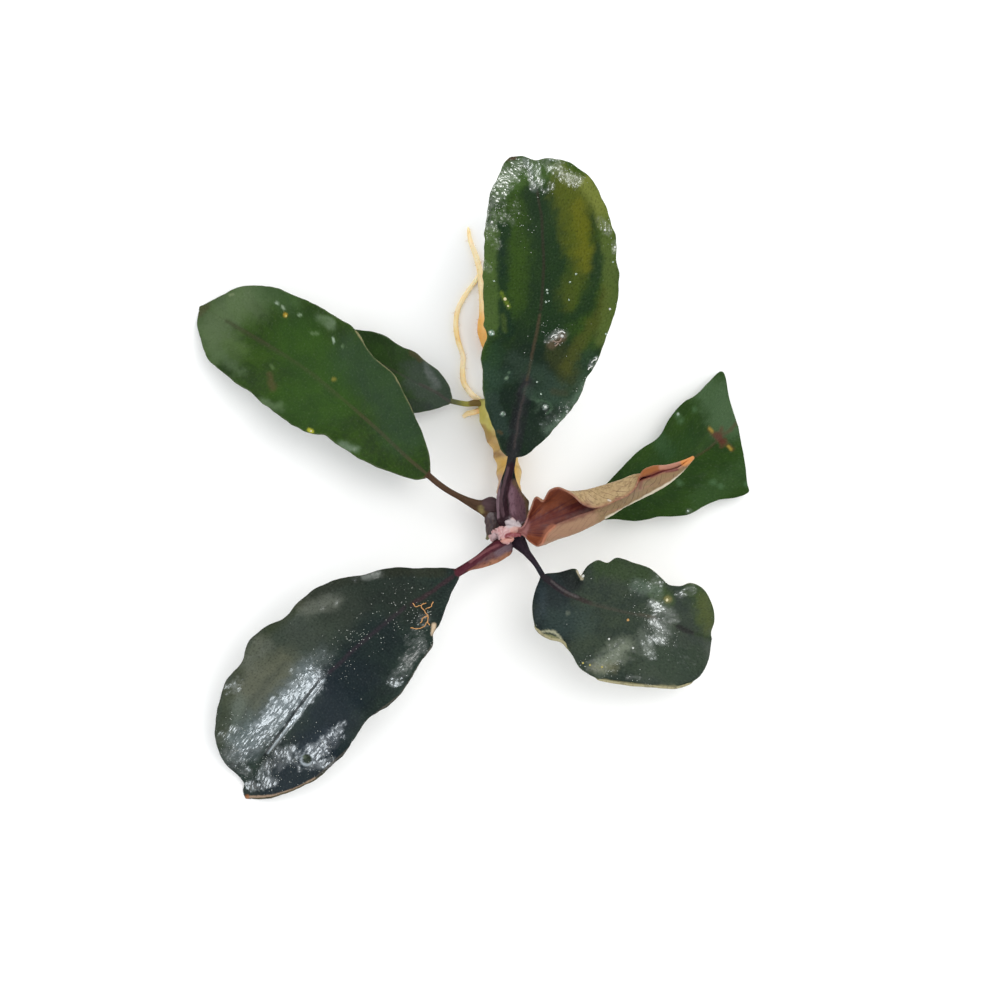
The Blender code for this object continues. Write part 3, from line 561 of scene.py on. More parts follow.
        (1, 7, 0.35, (64, 78, 84), (541, 590), (543, 612)),
        (6, 18, 0.5, (62, 78, 72), (556, 622), (580, 622)),
        (2, 20, 0.75, (62, 82, 38), (698, 590), (708, 608), (708, 626)),
        (0.5, 12, 0.45, (92, 98, 38), (704, 598), (708, 624)),
        (4, 14, 0.6, (56, 76, 40), (600, 566), (634, 572), (655, 584)),
        (4, 8, 0.5, (64, 86, 34), (655, 592), (668, 598)),
        (8, 18, 0.6, (40, 58, 38), (664, 660), (680, 668), (695, 660)),
        # Painted sheen: soft grey patches over the lower middle and along the ridge
        (1, 15, 0.75, (130, 138, 120), (602, 666), (614, 654), (624, 646)),
        (0.5, 8, 0.4, (124, 122, 90), (594, 668), (614, 668)),
        (2, 10, 0.5, (114, 122, 110), (643, 636), (647, 650)),
        (2, 11, 0.4, (104, 114, 100), (658, 604), (668, 616), (662, 632)),
        (1.5, 9, 0.6, (94, 110, 96), (636, 586), (656, 591)),
        (0.4, 2, 0.5, (44, 58, 46), (624, 640), (614, 648), (600, 656)),
        (2.4, 2, 0.95, (40, 32, 38), (543, 576), (554, 585), (568, 594)),
        (1.4, 2, 0.85, (56, 48, 46), (566, 593), (578, 598), (590, 603)),
        (0.8, 2.4, 0.55, (70, 72, 62), (590, 603), (620, 611), (655, 619)),
        # Painted highlight along the lower edge of the petiole's dark midrib
        (0.4, 1.6, 0.5, (104, 98, 98), (551, 581), (562, 589.5), (578, 597.5)),
        (1.2, 2.5, 0.7, (38, 36, 36), (678, 627), (692, 633)), (1, 2.5, 0.6, (110, 118, 104), (568, 613)),
        # The first stroke here is a painted highlight on the fold at the notch
        (1.0, 1.6, 0.9, (206, 196, 166), (578, 571), (582, 578)), (1.5, 4, 0.6, (150, 140, 84), (668, 599)),
        (0.5, 1.6, 0.4, (92, 86, 70), (640, 614), (655, 617)),
        (2.6, 1.6, 0.95, (168, 168, 122), (545, 637), (552, 639), (560, 642)),
        (0.5, 1.2, 0.85, (204, 202, 170), (541, 632), (547, 631), (554, 632), (559, 636), (562, 641)),
        (1.6, 1.4, 0.9, (156, 150, 112), (604, 681), (622, 684), (650, 687), (684, 688)),
    ],
    "right_leaf": [
        (8, 18, 0.75, (76, 102, 68), (706, 388), (718, 400), (728, 424)),
        (3, 10, 0.5, (60, 92, 58), (660, 440), (668, 452)),
        (3, 12, 0.5, (36, 66, 26), (610, 500), (650, 470), (690, 440)),
        (4, 14, 0.5, (56, 84, 44), (700, 500), (722, 484), (742, 470)),
        *[(0.4, 5, 0.45, (88, 122, 84), spot) for spot in (
            (677, 415), (681, 421), (694, 410), (680, 483), (713, 482), (721, 486), (747, 484),
        )],
        # Painted highlight on the pale spot at (678, 414)
        (0.6, 1.6, 0.85, (176, 196, 172), (678, 414)),
        (0.2, 2, 0.6, (70, 64, 38), (696, 457), (708, 449), (716, 442)),
        (0.4, 4, 0.65, (92, 70, 38), (709, 430), (716, 435), (722, 440), (732, 449)),
        (0.3, 4, 0.7, (90, 62, 42), (721, 429), (720, 438), (722, 446)),
        (0.2, 3.4, 0.6, (84, 68, 44), (717, 440), (722, 436), (730, 430), (738, 422)),
        (1.2, 4, 0.8, (92, 52, 40), (716, 435), (723, 441)),
        (0.4, 2.4, 0.7, (184, 152, 62), (709.5, 429), (712, 431)),
        (0.4, 2.4, 0.7, (178, 150, 62), (728.5, 446.5), (731, 449)),
    ],
    "young_leaf": [
        (4, 6, 0.4, (152, 86, 58), (545, 502), (556, 494), (566, 497)),
        (3, 4, 0.5, (168, 94, 58), (530, 538), (540, 543)),
        (2.5, 6, 0.45, (112, 42, 44), (526, 526), (548, 519), (572, 512), (588, 507)),
        (5, 6, 0.45, (188, 146, 120), (556, 535), (572, 527), (590, 519)),
        (0.4, 4.5, 0.5, (98, 40, 42), (528, 532), (548, 527), (568, 520), (592, 511)),
        (2, 4, 0.75, (168, 102, 50), (641, 477), (650, 470), (660, 468)),
        (0.8, 2.4, 0.7, (128, 70, 50), (642, 479), (652, 475), (662, 471)),
        (1.6, 3, 0.75, (200, 144, 122), (662, 467), (676, 465), (686, 461)),
        (2.5, 3, 0.9, (228, 148, 76), (684, 462), (695, 456)),
        (4, 4, 0.75, (176, 120, 118), (520, 535), (524, 524)),
        (0.2, 2.4, 0.6, (196, 164, 140), (541, 545), (556, 541), (580, 534), (606, 520)),
        # Painted rim highlight along the lower edge of the roll
        (0.3, 1.6, 0.85, (240, 230, 206), (606, 518), (640, 499.5), (672, 481.5), (688, 469)),
        (1, 3, 0.7, (200, 124, 92), (541, 543), (546, 532), (553, 526)),
        # Painted glint
        (0.3, 1, 0.85, (236, 226, 214), (608, 500), (610.5, 501)),
        (0.3, 1.6, 0.5, (120, 56, 62), (616, 499), (620, 498)),
        (0.5, 1.6, 0.8, (112, 46, 52), (640, 479), (653, 475.5), (663, 471.5), (677, 469.5)),
        (0.5, 2, 0.6, (132, 64, 60), (640, 488), (642, 480)),
    ],
    "rhizome": [
        (4, 3, 0.92, (44, 36, 30), (478, 400), (488, 398), (496, 400)),
        (3, 3, 0.8, (96, 66, 44), (476, 406), (480, 403)),
        (7, 6, 0.85, (224, 214, 96), (486, 408), (489, 428)),
        (4, 4, 0.7, (176, 124, 62), (481, 430), (487, 437)),
        (5, 6, 0.6, (206, 160, 82), (497, 436), (503, 450)),
        (1, 4, 0.6, (146, 98, 56), (490, 456), (510, 453)),
        (5, 8, 0.75, (230, 178, 76), (508, 466), (509, 486)),
        (6, 8, 0.8, (212, 164, 140), (503, 484), (505, 516)),
        (7, 5, 0.85, (150, 92, 90), (508, 524), (508, 530)), (6, 4, 0.85, (150, 60, 62), (507, 534)),
    ],
    "dark_scale": [
        (2.5, 3, 0.85, (124, 118, 72), (487, 539)), (5, 4, 0.6, (74, 56, 60), (490, 508), (490, 514)),
    ],
    "papery_scale": [
        (3.5, 4, 0.85, (198, 188, 192), (508, 522), (519, 527)),
        (1.8, 1.6, 0.95, (142, 50, 60), (507, 536), (512, 534.5), (520, 535)),
        (1, 3, 0.7, (214, 146, 126), (503, 541), (512, 539)),
        (1.5, 2.5, 0.7, (226, 164, 148), (513, 530), (520, 530)), (3, 3, 0.6, (190, 172, 176), (495, 537)),
    ],
}

# Where each leaf is wet: half width, soft edge, how wet (less than 0 where it stays dry), traced line
WET_PLACES = {
    "upper_leaf": [
        (4, 11, 1.0, (488, 226), (491, 206), (497, 190), (507, 176), (516, 166)),
        (8, 14, 0.5, (496, 208), (506, 212)), (2, 8, 0.6, (490, 238), (497, 244)),
        (3, 7, 0.85, (522, 163), (536, 164)), (3, 11, 0.95, (532, 167), (536, 180)),
        (3, 5, 1.0, (546, 161), (556, 163)), (3, 8, 1.0, (550, 163), (563, 174), (577, 181)),
        (1, 9, 0.6, (543, 190), (552, 186)), (2.5, 4, 0.8, (484, 263), (488, 270)),
        (3, 4, 0.9, (600, 221), (607, 231)), (2, 3, 0.8, (614, 243), (615, 252)),
        (2, 3, 1.0, (590, 366), (597, 359)), (2.5, 4, 1.0, (548, 340), (556, 334), (566, 334)),
        (6, 10, 0.45, (550, 418), (568, 408)), (2.6, 1.5, 1.0, (545, 407)), (2.4, 1.5, 0.9, (502.5, 414)),
        (3, 1.5, 0.9, (491, 333)),
    ],
    "left_leaf": [
        (3, 5, 0.5, (322, 319), (330, 324)), (2, 5, 0.6, (343, 446), (353, 449)),
        (3, 6, 0.4, (266, 402), (276, 407)), (5, 14, 0.25, (222, 300), (240, 292)),
    ],
    "left_rear_leaf": [(3, 8, 0.4, (426, 362), (434, 386))],
    "lower_left_leaf": [
        (3, 20, 1.0, (314, 676), (296, 696), (272, 722)), (4, 20, 0.85, (272, 722), (256, 740), (234, 754)),
        (4, 11, 0.95, (313, 752), (324, 747), (333, 738)), (1.5, 6, 0.6, (338, 733), (343, 724)),
        (2, 6, 0.85, (310, 765), (324, 765), (332, 760)), (1.5, 5, 0.6, (294, 762), (299, 768)),
        (1.8, 2.5, 1.0, (322, 682), (300, 712), (282, 735), (268, 752)),
        (3, 12, 0.8, (264, 772), (276, 760), (290, 752)), (4, 5, 0.9, (252, 786), (272, 782)),
        (3, 4, 0.7, (238, 768), (250, 772)), (5, 6, 0.9, (395, 680), (408, 662), (420, 645)),
        (4, 8, 0.5, (410, 640), (425, 620)), (4, 6, 0.6, (222, 738), (232, 730)),
        (4, 8, 0.5, (231, 690), (238, 684)), (2, 12, 0.3, (250, 655), (262, 645)),
        (2, 12, 0.3, (300, 612), (335, 602)), (5, 10, 0.45, (296, 670), (325, 655)),
        (3, 5, 0.45, (355, 578), (380, 574)), (4.6, 1.2, -1.0, (306.5, 759.5)),
    ],
    "lower_right_leaf": [
        (1, 11, 0.9, (654, 604), (662, 610), (672, 618)), (2, 11, 0.95, (657, 620), (662, 636)),
        (2, 10, 0.55, (648, 640), (651, 654)), (8, 10, 0.5, (608, 660), (625, 650)),
        (4, 6, 0.7, (590, 664), (604, 668)), (5, 8, 0.45, (638, 588), (655, 584)),
        (3, 4, 0.7, (680, 594), (692, 590)), (1.2, 2, 0.9, (628, 677), (640, 678)),
        (6, 12, 0.25, (676, 650), (690, 660)),
    ],
    "right_leaf": [(6, 14, 0.25, (700, 480), (740, 470)), (2, 2, 1.0, (688, 511), (690, 511))],
}

# Soft light panels: azimuth and elevation in degrees, width and height in m, brightness and colour. The
# key lights the plant and casts its shadow, and the windows are there for the wet places to mirror.
PANEL_DISTANCE = 0.65
WINDOWS = {
    "key": (38, 72, (0.32, 0.32), 1.0, (1.0, 0.99, 0.97)),
    "tip_window": (97, 48, (0.2, 0.2), 1.5, (1.0, 1.0, 1.0)),
    "crest_window": (150, 58, (0.24, 0.24), 1.0, (0.96, 1.0, 1.0)),
    "left_window": (232, 22, (0.36, 0.32), 1.1, (0.88, 0.95, 1.0)),
    "right_window": (346, 13, (0.4, 0.28), 1.0, (0.96, 1.0, 1.0)),
    "high_window": (290, 60, (0.18, 0.18), 0.5, (1.0, 1.0, 1.0)),
}

CREAM = srgb(232, 222, 170)
WHITE = srgb(226, 228, 222)
OCHRE = srgb(206, 150, 60)
YELLOW = srgb(196, 178, 70)
GLINT = srgb(158, 178, 160)

# Single specks (leaf, colour and the x, y and diameter in mm of each). The GLINT beads and some white ones
# are painted glints of water and wet spots, the others pale specks
SPECKS = [
    ("upper_leaf", CREAM, [(505, 299, 0.5), (508, 306, 0.3)]),
    ("upper_leaf", GLINT, [
        (547, 290, 0.4), (547.5, 293, 0.32), (546, 302, 0.36), (549, 301, 0.24), (606, 334, 0.35),
        (613, 262, 0.3), (502, 413.5, 0.36), (541, 394, 0.3), (537, 382, 0.3), (570, 282, 0.32),
        (569, 300, 0.28), (576, 274, 0.35), (553, 340, 0.3), (494, 281, 0.3),
    ]),
    # White beads: those at (610, 309), (492, 222), (605, 230) and (615, 247) are painted glints, the rest
    # pale specks
    ("upper_leaf", WHITE, [
        (610, 309, 0.35), (545.5, 407, 0.4), (490.5, 332, 0.3), (556, 337, 0.45), (562, 336, 0.5),
        (492, 222, 0.36), (605, 230, 0.36), (615, 247, 0.36),
    ]),
    ("left_leaf", YELLOW, [(286, 316, 0.42)]), ("left_leaf", CREAM, [(311, 431, 0.35)]),
    ("right_leaf", GLINT, [(688, 511, 0.4), (678, 414, 0.4)]),
    ("lower_right_leaf", OCHRE, [(628, 620, 0.42)]), ("lower_right_leaf", CREAM, [(667, 600, 0.5)]),
    # These white beads are painted glints on the notch and the sheen
    ("lower_right_leaf", WHITE, [(583, 576, 0.5), (609, 639, 0.34), (633, 648, 0.34)]),
    ("lower_right_leaf", YELLOW, [(583, 663, 0.34), (590, 665, 0.34), (602, 667, 0.34)]),
]

# Where grit lies thickest on each leaf, which is where the leaf glints, so that there its pale beads are
# painted glints (half width, soft edge, traced line)
GRIT_AND_GLINT_ZONES = {
    "upper_leaf": [
        (8, 10, (492, 200), (500, 180), (515, 168)), (5, 8, (530, 170), (545, 190)),
        (4, 8, (548, 160), (580, 182)), (3, 5, (488, 225), (486, 270)), (4, 6, (602, 215), (615, 250)),
        (6, 6, (550, 330), (562, 340)), (3, 8, (545, 430), (565, 410), (590, 376)),
        (9, 9, (504, 196), (512, 218), (524, 236)),
    ],
    "lower_left_leaf": [
        (20, 30, (300, 760), (240, 750)), (6, 12, (420, 610), (430, 640)), (6, 28, (400, 600), (340, 660)),
    ],
    "lower_right_leaf": [(10, 14, (640, 600), (660, 640)), (5, 8, (585, 664), (650, 680))],
}

# Tangled fibres (leaf, radius in mm, colour, traced lines)
ORANGE = srgb(206, 136, 30)
FIBRES = [
    ("upper_leaf", 0.085, WHITE, [
        [(551, 337.5), (553.5, 335.5), (556.5, 334)], [(558, 333), (561, 331.5), (565, 332.5)],
        # Painted glints: these two white threads stand for glints on the wet margin
        [(588, 370), (590, 367), (592.5, 366)], [(592, 362.5), (595, 360), (597, 357.5)],
    ]),
    ("upper_leaf", 0.12, srgb(122, 92, 66), [[(553, 341), (557, 342), (562, 338)], [(555, 346), (559, 343)]]),
    ("lower_left_leaf", 0.075, ORANGE, [
        [(413, 603), (417, 607), (421, 605), (426, 603)],
        [(421, 605), (424, 611), (428, 616), (427, 622)], [(433, 602), (430, 607), (425, 609)],
        [(428, 616), (423, 618), (420, 623)], [(427, 622), (423, 627), (417, 629), (411, 628)],
        [(427, 622), (430, 625)],
    ]),
]


def joined(*parts):
    """Points with these coordinates, once the arrays have been brought to one shape."""
    return np.stack(np.broadcast_arrays(*parts), axis=-1)


def place(x, y, height):
    """Points in metres that look to be at these traced positions when they are this many mm high."""
    height = np.asarray(height, float) * MM
    nearer = (EYE_HEIGHT - height) / (EYE_HEIGHT - CROWN_HEIGHT)
    across = (x - EYE_TRACED[0]) * nearer - MIDDLE_OFFSET[0]
    down = (y - EYE_TRACED[1]) * nearer - MIDDLE_OFFSET[1]
    return joined(across * UNIT, -down * UNIT, height)


def traced_places(points):
    """The traced positions of points in metres, as the eye sees them."""
    nearer = (EYE_HEIGHT - points[..., 2:]) / (EYE_HEIGHT - CROWN_HEIGHT)
    return (points[..., :2] * (1, -1) / UNIT + MIDDLE_OFFSET) / nearer + EYE_TRACED


def curve(points, shares, plan_only=True):
    """Points at these shares of the length of a smooth curve through the given points."""
    points = np.array(points, float)
    spans = np.diff(points[:, :2] if plan_only else points, axis=0)
    knots = np.concatenate([[0], np.cumsum(np.linalg.norm(spans, axis=1))])
    knots /= knots[-1]
    gaps = np.diff(knots)[:, None]
    slopes = np.diff(points, axis=0) / gaps
    middle = (slopes[:-1] * gaps[1:] + slopes[1:] * gaps[:-1]) / (gaps[1:] + gaps[:-1])
    tangents = np.concatenate([slopes[:1], middle, slopes[-1:]])
    shares = np.asarray(shares, float)
    i = np.clip(np.searchsorted(knots, shares) - 1, 0, len(slopes) - 1)
    width = gaps[i]
    t = (shares - knots[i])[:, None] / width
    start = points[i] * (1 + 2 * t) + tangents[i] * width * t
    end = points[i + 1] * (3 - 2 * t) - tangents[i + 1] * width * (1 - t)
    return start * (1 - t) ** 2 + end * t * t


def smooth_step(share):
    share = np.clip(share, 0, 1)
    return share * share * (3 - 2 * share)


def left_of(here, ahead):
    """Unit vectors to the left of traced directions."""
    along = (ahead - here)[:, :2]
    return joined(along[:, 1], -along[:, 0]) / np.linalg.norm(along, axis=1)[:, None]


def rough(points, size, seed):
    """Smooth noise from -1 to 1 at points, whose lumps are about this size."""
    flat = points.reshape(-1, points.shape[-1]) / size
    third = np.full(len(flat), float(seed)) if flat.shape[1] == 2 else flat[:, 2] + seed
    values = [noise.noise(Vector(spot)) for spot in zip(flat[:, 0], flat[:, 1], third)]
    return np.array(values).reshape(points.shape[:-1])


def rounded(from_edge, radius):
    """How far a section has swelled: 0 at its edge, and 1 past the rounding of this radius."""
    return np.sqrt(1 - np.clip(1 - from_edge / radius, 0, 1) ** 2)


def vein_slant(along, off_rib):
    """Where a place lies among the side veins, which lean forward and bend a little."""
    return along - 0.62 * off_rib - 0.02 * off_rib * off_rib


def leaf_columns():
    """Where the columns of a leaf lie, from the left margin at -1 to the right margin at 1."""
    inner = np.linspace(0, 1, INNER_COLUMNS) ** 1.2 * MARGIN_START
    toward = 1 - (1 - np.linspace(0, 1, MARGIN_COLUMNS + 1)[1:]) ** 1.5
    half = np.concatenate([inner, MARGIN_START + (1 - MARGIN_START) * toward])
    return np.concatenate([-half[:0:-1], half])


# Each point of a leaf has a station and a reach. The station is its column from -1 at the left margin to
# 1, its share of the blade's length (below 0 on the petiole) and 1 on the underside. The reach is how far
# it lies across from the midrib, along it and in from the margin, in mm.
def petiole_grid(leaf, seat, columns):
    """Middle points, half thicknesses in mm above and below, stations and reaches of a petiole."""
    shares = np.linspace(0, 1, PETIOLE_ROWS, endpoint=False)
    course = [(*seat, 0.85 * leaf["petiole"][0][3], 0, 0), *leaf["petiole"]]
    rows = curve(course, shares)
    left = left_of(rows, curve(course, shares + 0.02))
    radius = rows[:, 3:4]
    wing = np.maximum(np.where(columns < 0, rows[:, 4:5], rows[:, 5:6]), 0)
    away = np.abs(columns)
    out = np.clip((away - PETIOLE_EDGE) / (1 - PETIOLE_EDGE), 0, 1)
    across = np.where(away <= PETIOLE_EDGE, 0.92 * radius * away / PETIOLE_EDGE,
                      radius * (0.92 + 0.08 * out) + wing * out)
    thick = radius * np.sqrt(np.maximum(0, 1 - (across / radius) ** 2))
    thin = SHEATH_THICKNESS / 2 * np.sqrt(1 - out ** 2) * np.minimum(1, wing / 0.2)
    halves = np.where(out > 0, np.maximum(thick, thin), thick)
    across = across * np.sign(columns)
    traced = rows[:, None, :2] - left[:, None, :] * (across * MM / UNIT)[..., None]
    centre = place(traced[..., 0], traced[..., 1], rows[:, 2:3] - 0.3 * wing * out)
    reach = joined(across, np.linspace(-4, 0, PETIOLE_ROWS)[:, None], 1.0)
    return centre, halves, halves, joined(columns, (shares - 1)[:, None]), reach


def curled(relief, margins, away, width, sign):
    """How far out each place of a blade reaches and how much it rises where the margins curl."""
    reached = away * np.ones_like(width)
    lift = 0
    for side, line, length, turn in relief["curls"]:
        strength = stroke_cover(margins[side], 3, 12, *line)[:, None]
        angle = math.radians(turn) * strength + TINY
        room = np.minimum(length, width * 0.8) + TINY
        extent = np.where(angle > math.pi / 2, room / angle, room * np.sin(angle) / angle)
        full = np.maximum(width, TINY)
        begin = 1 - extent / full
        rolled = np.clip(1 - (1 - away) * width / room, 0, 1)
        curling = (sign == (-1 if side == "left" else 1)) & (strength > 0)
        scaled = np.minimum(away / np.maximum(1 - room / full, TINY), 1) * begin
        rolled_out = begin + room * np.sin(rolled * angle) / angle / full
        reached = np.where(curling, np.where(rolled > 0, rolled_out, scaled), reached)
        lift = lift + np.where(curling, room * (1 - np.cos(rolled * angle)) / angle, 0)
    return reached, lift


def blade_grid(name, leaf, columns):
    """Middle points, half thicknesses in mm above and below, stations and reaches of a blade."""
    relief = {**PLAIN_RELIEF, **RELIEFS[name]}
    even = np.linspace(0, 1, BLADE_ROWS)
    shares = 0.6 * even + 0.4 * (1 - np.cos(math.pi * even)) / 2
    midrib = curve(leaf["midrib"], shares)
    left = left_of(curve(leaf["midrib"], shares - 0.004), curve(leaf["midrib"], shares + 0.004))
    foot = leaf["midrib"][0][:2]
    tip = leaf["midrib"][-1][:2]
    margins = {side: curve([foot, *leaf[side], tip], shares) for side in ("left", "right")}
    stem_radius = leaf["petiole"][-1][3]
    share = shares[:, None]
    swell = np.sqrt(np.maximum(np.sin(math.pi * (0.02 + 0.96 * share)), 0))
    stem_share = 1 - smooth_step(share / 0.07)
    sign = np.sign(columns)
    away = np.abs(columns)
    margin = np.where((columns < 0)[:, None], margins["left"][:, None], margins["right"][:, None])
    stem_side = left[:, None, :] * (stem_radius * MM / UNIT * stem_share * sign)[..., None]
    outward = margin - midrib[:, None, :2] - stem_side
    width = np.linalg.norm(outward, axis=-1) * UNIT / MM

    phase = np.where(columns < 0, *leaf["phases"])
    wave = leaf["wave"] * away ** 3 * np.sin(2 * math.pi * (leaf["waves"] * share + phase))
    reached, curl_lift = curled(relief, margins, away, width, sign)
    lift = (leaf["cup"] * away ** 2 + wave) * swell + curl_lift
    length = np.linalg.norm(np.diff(midrib[:, :2], axis=0), axis=1).sum() * UNIT / MM
    along = share * length * np.ones_like(reached)
    seed = list(LEAVES).index(name) * 7.3
    free = (1 - stem_share) * np.minimum(swell * 1.3, 1)
    edge_line = joined(along, sign * 9.0)
    frill = relief["frill"] * free * (rough(edge_line, 1.9, seed + 5) + 0.5 * rough(edge_line, 0.9, seed + 6))
    outset = 1 + frill * away ** 4 / np.maximum(width, 2.5)
    traced = midrib[:, None, :2] + (reached * outset)[..., None] * outward
    across = width * reached * sign
    plane = joined(across, along)
    hollows = relief["hollow"] * rough(plane, relief["hollow_size"], seed)
    stretched = plane / np.array(relief["wrinkle_size"])
    wrinkles = rough(stretched, 1, seed + 2) + 0.5 * rough(stretched, 0.5, seed + 3)
    turns = 2 * math.pi * vein_slant(along, np.abs(across)) / VEIN_STEP
    veins = np.sin(turns + 1.5 * rough(plane, 6, seed + 4)) ** 8
    lift = lift + free * (hollows + relief["wrinkle"] * wrinkles - relief["vein"] * veins)
    for x, y, radius, rise in relief["blisters"]:
        away_from = np.linalg.norm(traced - (x, y), axis=-1) / radius
        lift = lift + rise * np.maximum(1 - away_from ** 2, 0) ** 0.7

    from_edge = np.maximum((1 - away) * width, 0)
    edge = rounded(from_edge, EDGE_ROUNDING)
    flat = (MARGIN_THICKNESS + (BLADE_THICKNESS - MARGIN_THICKNESS) * (1 - away ** 2)) / 2
    rib = np.maximum(stem_radius * (1 - share) ** 1.5, flat) - flat
    ridge = rib * np.exp(-((across / MIDRIB_SPREAD) ** 2))
    begin, finish = relief["groove_ends"]
    groove = relief["groove"] * np.exp(-((across / 0.3) ** 2))
    groove = groove * smooth_step((share - begin) / 0.12) * smooth_step((finish - share) / 0.12)
    stem = stem_radius * np.sqrt(np.maximum(1 - away ** 2, 0))
    above = (flat + relief["rib_up"] * ridge - groove) * edge
    below = (flat + ridge) * edge
    above = above + (stem - above) * stem_share
    below = below + (stem - below) * stem_share
    height = np.maximum(midrib[:, 2:3] + lift, below + 0.02)
    centre = place(traced[..., 0], traced[..., 1], height)
    return centre, above, below, joined(columns, share), joined(across, along, from_edge)


def grid_normals(points):
    """Unit normals of a grid of points, up where its columns run to the right of its rows."""
    normals = np.cross(np.gradient(points, axis=1), np.gradient(points, axis=0))
    lengths = np.linalg.norm(normals, axis=-1, keepdims=True)
    return np.where(lengths > 1e-14, normals / np.maximum(lengths, 1e-14), (0, 0, 1))


def inside_box(places):
    """Points moved into the model's box, whose floor is the table."""
    return np.clip(places, *np.array(model_box))


def sheet_solid(name, centre, above, below, station, reach):
    """A closed smooth mesh about a grid of middle points, with its stations and reaches as attributes."""
    rows, columns = centre.shape[:2]
    normals = grid_normals(centre)
    for end in (0, -1):
        centre[end] = centre[end].mean(axis=0)
        for halves in (above, below):
            halves[end] = 0
            halves[:, end] = 0
    top = centre + normals * above[..., None] * MM
    bottom = centre - normals * below[..., None] * MM
    upper = np.arange(rows * columns).reshape(rows, columns)
    upper[0] = upper[0, 0]
    upper[-1] = upper[-1, 0]
    lower = upper + rows * columns
    for edge in (np.s_[:, 0], np.s_[:, -1], np.s_[0], np.s_[-1]):
        lower[edge] = upper[edge]
    faces = []
    for index, order in ((upper, 1), (lower, -1)):
        corners = joined(index[:-1, :-1], index[:-1, 1:], index[1:, 1:], index[1:, :-1])
        for face in corners.reshape(-1, 4).tolist():
            ring = list(dict.fromkeys(face))
            if len(ring) > 2:
                faces.append(ring[::order])
    used = np.unique(np.concatenate(faces))
    renumbered = np.full(2 * rows * columns, -1)
    renumbered[used] = np.arange(len(used))
    renumbered = renumbered.tolist()
    places = inside_box(np.concatenate([top, bottom]).reshape(-1, 3))
    mesh = bpy.data.meshes.new(name)
    mesh.from_pydata(places[used].tolist(), [], [[renumbered[i] for i in face] for face in faces])
    side = np.repeat([0.0, 1.0], rows)[:, None]
    stations = np.concatenate([station, station])
    stations = joined(stations[..., 0], stations[..., 1], side)
    for key, values in (("station", stations), ("reach", np.concatenate([reach, reach]))):
        add_attribute(mesh, key, values.reshape(-1, 3)[used])
    mesh.shade_smooth()
    return mesh


def add_attribute(mesh, key, values):
    """Gives each of a mesh's points a number or a vector."""
    values = np.asarray(values, np.float32)
    kind, field = ("FLOAT", "value") if values.ndim == 1 else ("FLOAT_VECTOR", "vector")
    mesh.attributes.new(key, kind, "POINT").data.foreach_set(field, values.ravel())


def mesh_vectors(mesh, key):
    """A vector attribute of a mesh's points, such as their position."""
    vectors = np.empty(len(mesh.vertices) * 3, np.float32)
    mesh.attributes[key].data.foreach_get("vector", vectors)
    return vectors.reshape(-1, 3).astype(float)


def stroke_cover(traced, half_width, soft, *line):
    """How strongly a stroke along a line covers traced positions, from 0 to 1."""
    line = np.array(line, float)
    nearest = np.linalg.norm(traced - line[0], axis=-1)
    for start, end in zip(line[:-1], line[1:]):
        span = end - start
        share = np.clip((traced - start) @ span / (span @ span), 0, 1)[..., None]
        nearest = np.minimum(nearest, np.linalg.norm(traced - start - share * span, axis=-1))
    return smooth_step((half_width + soft - nearest) / soft)


def wandering(mesh):
    """The traced positions of a mesh's points, and a shift that lets the edges of strokes wander."""
    traced = traced_places(mesh_vectors(mesh, "position"))
    return traced, joined(*(0.35 * rough(traced, 9, seed) + 0.25 * rough(traced, 3.5, seed + 1)
                            for seed in (1.7, 5.1)))


def paint_strokes(mesh, strokes, shown=1):
    """Lays strokes over one another in the mesh's tint attribute, whose alpha says how much shows."""
    traced, shift = wandering(mesh)
    colours = np.zeros((len(traced), 3))
    alpha = np.zeros(len(traced))
    for half_width, soft, strength, colour, *line in strokes:
        cover = stroke_cover(traced + shift * min(soft, 14), half_width, soft, *line) * strength
        joint = cover + alpha * (1 - cover)
        share = (cover / np.maximum(joint, 1e-9))[:, None]
        colours = np.array(srgb(*colour)) * share + colours * (1 - share)
        alpha = joint
    tint = np.concatenate([colours, (alpha * shown)[:, None]], axis=1).astype(np.float32)
    mesh.color_attributes.new("tint", "FLOAT_COLOR", "POINT").data.foreach_set("color", tint.ravel())


def operator_pair(operation):
    """A Python operator and its reflected form, which add a Math node."""
    def forward(self, other):
        return self.bench.math(operation, self, other)

    def reflected(self, other):
        return self.bench.math(operation, other, self)

    return forward, reflected


class Link:
    """A node's output socket, which Python's operators can reckon with."""

    __add__, __radd__ = operator_pair("ADD")
    __sub__, __rsub__ = operator_pair("SUBTRACT")
    __mul__, __rmul__ = operator_pair("MULTIPLY")
    __truediv__, __rtruediv__ = operator_pair("DIVIDE")
    __pow__, __rpow__ = operator_pair("POWER")

    def __init__(self, bench, socket):
        self.bench = bench
        self.socket = socket

    def __abs__(self):
        return self.bench.math("ABSOLUTE", self)


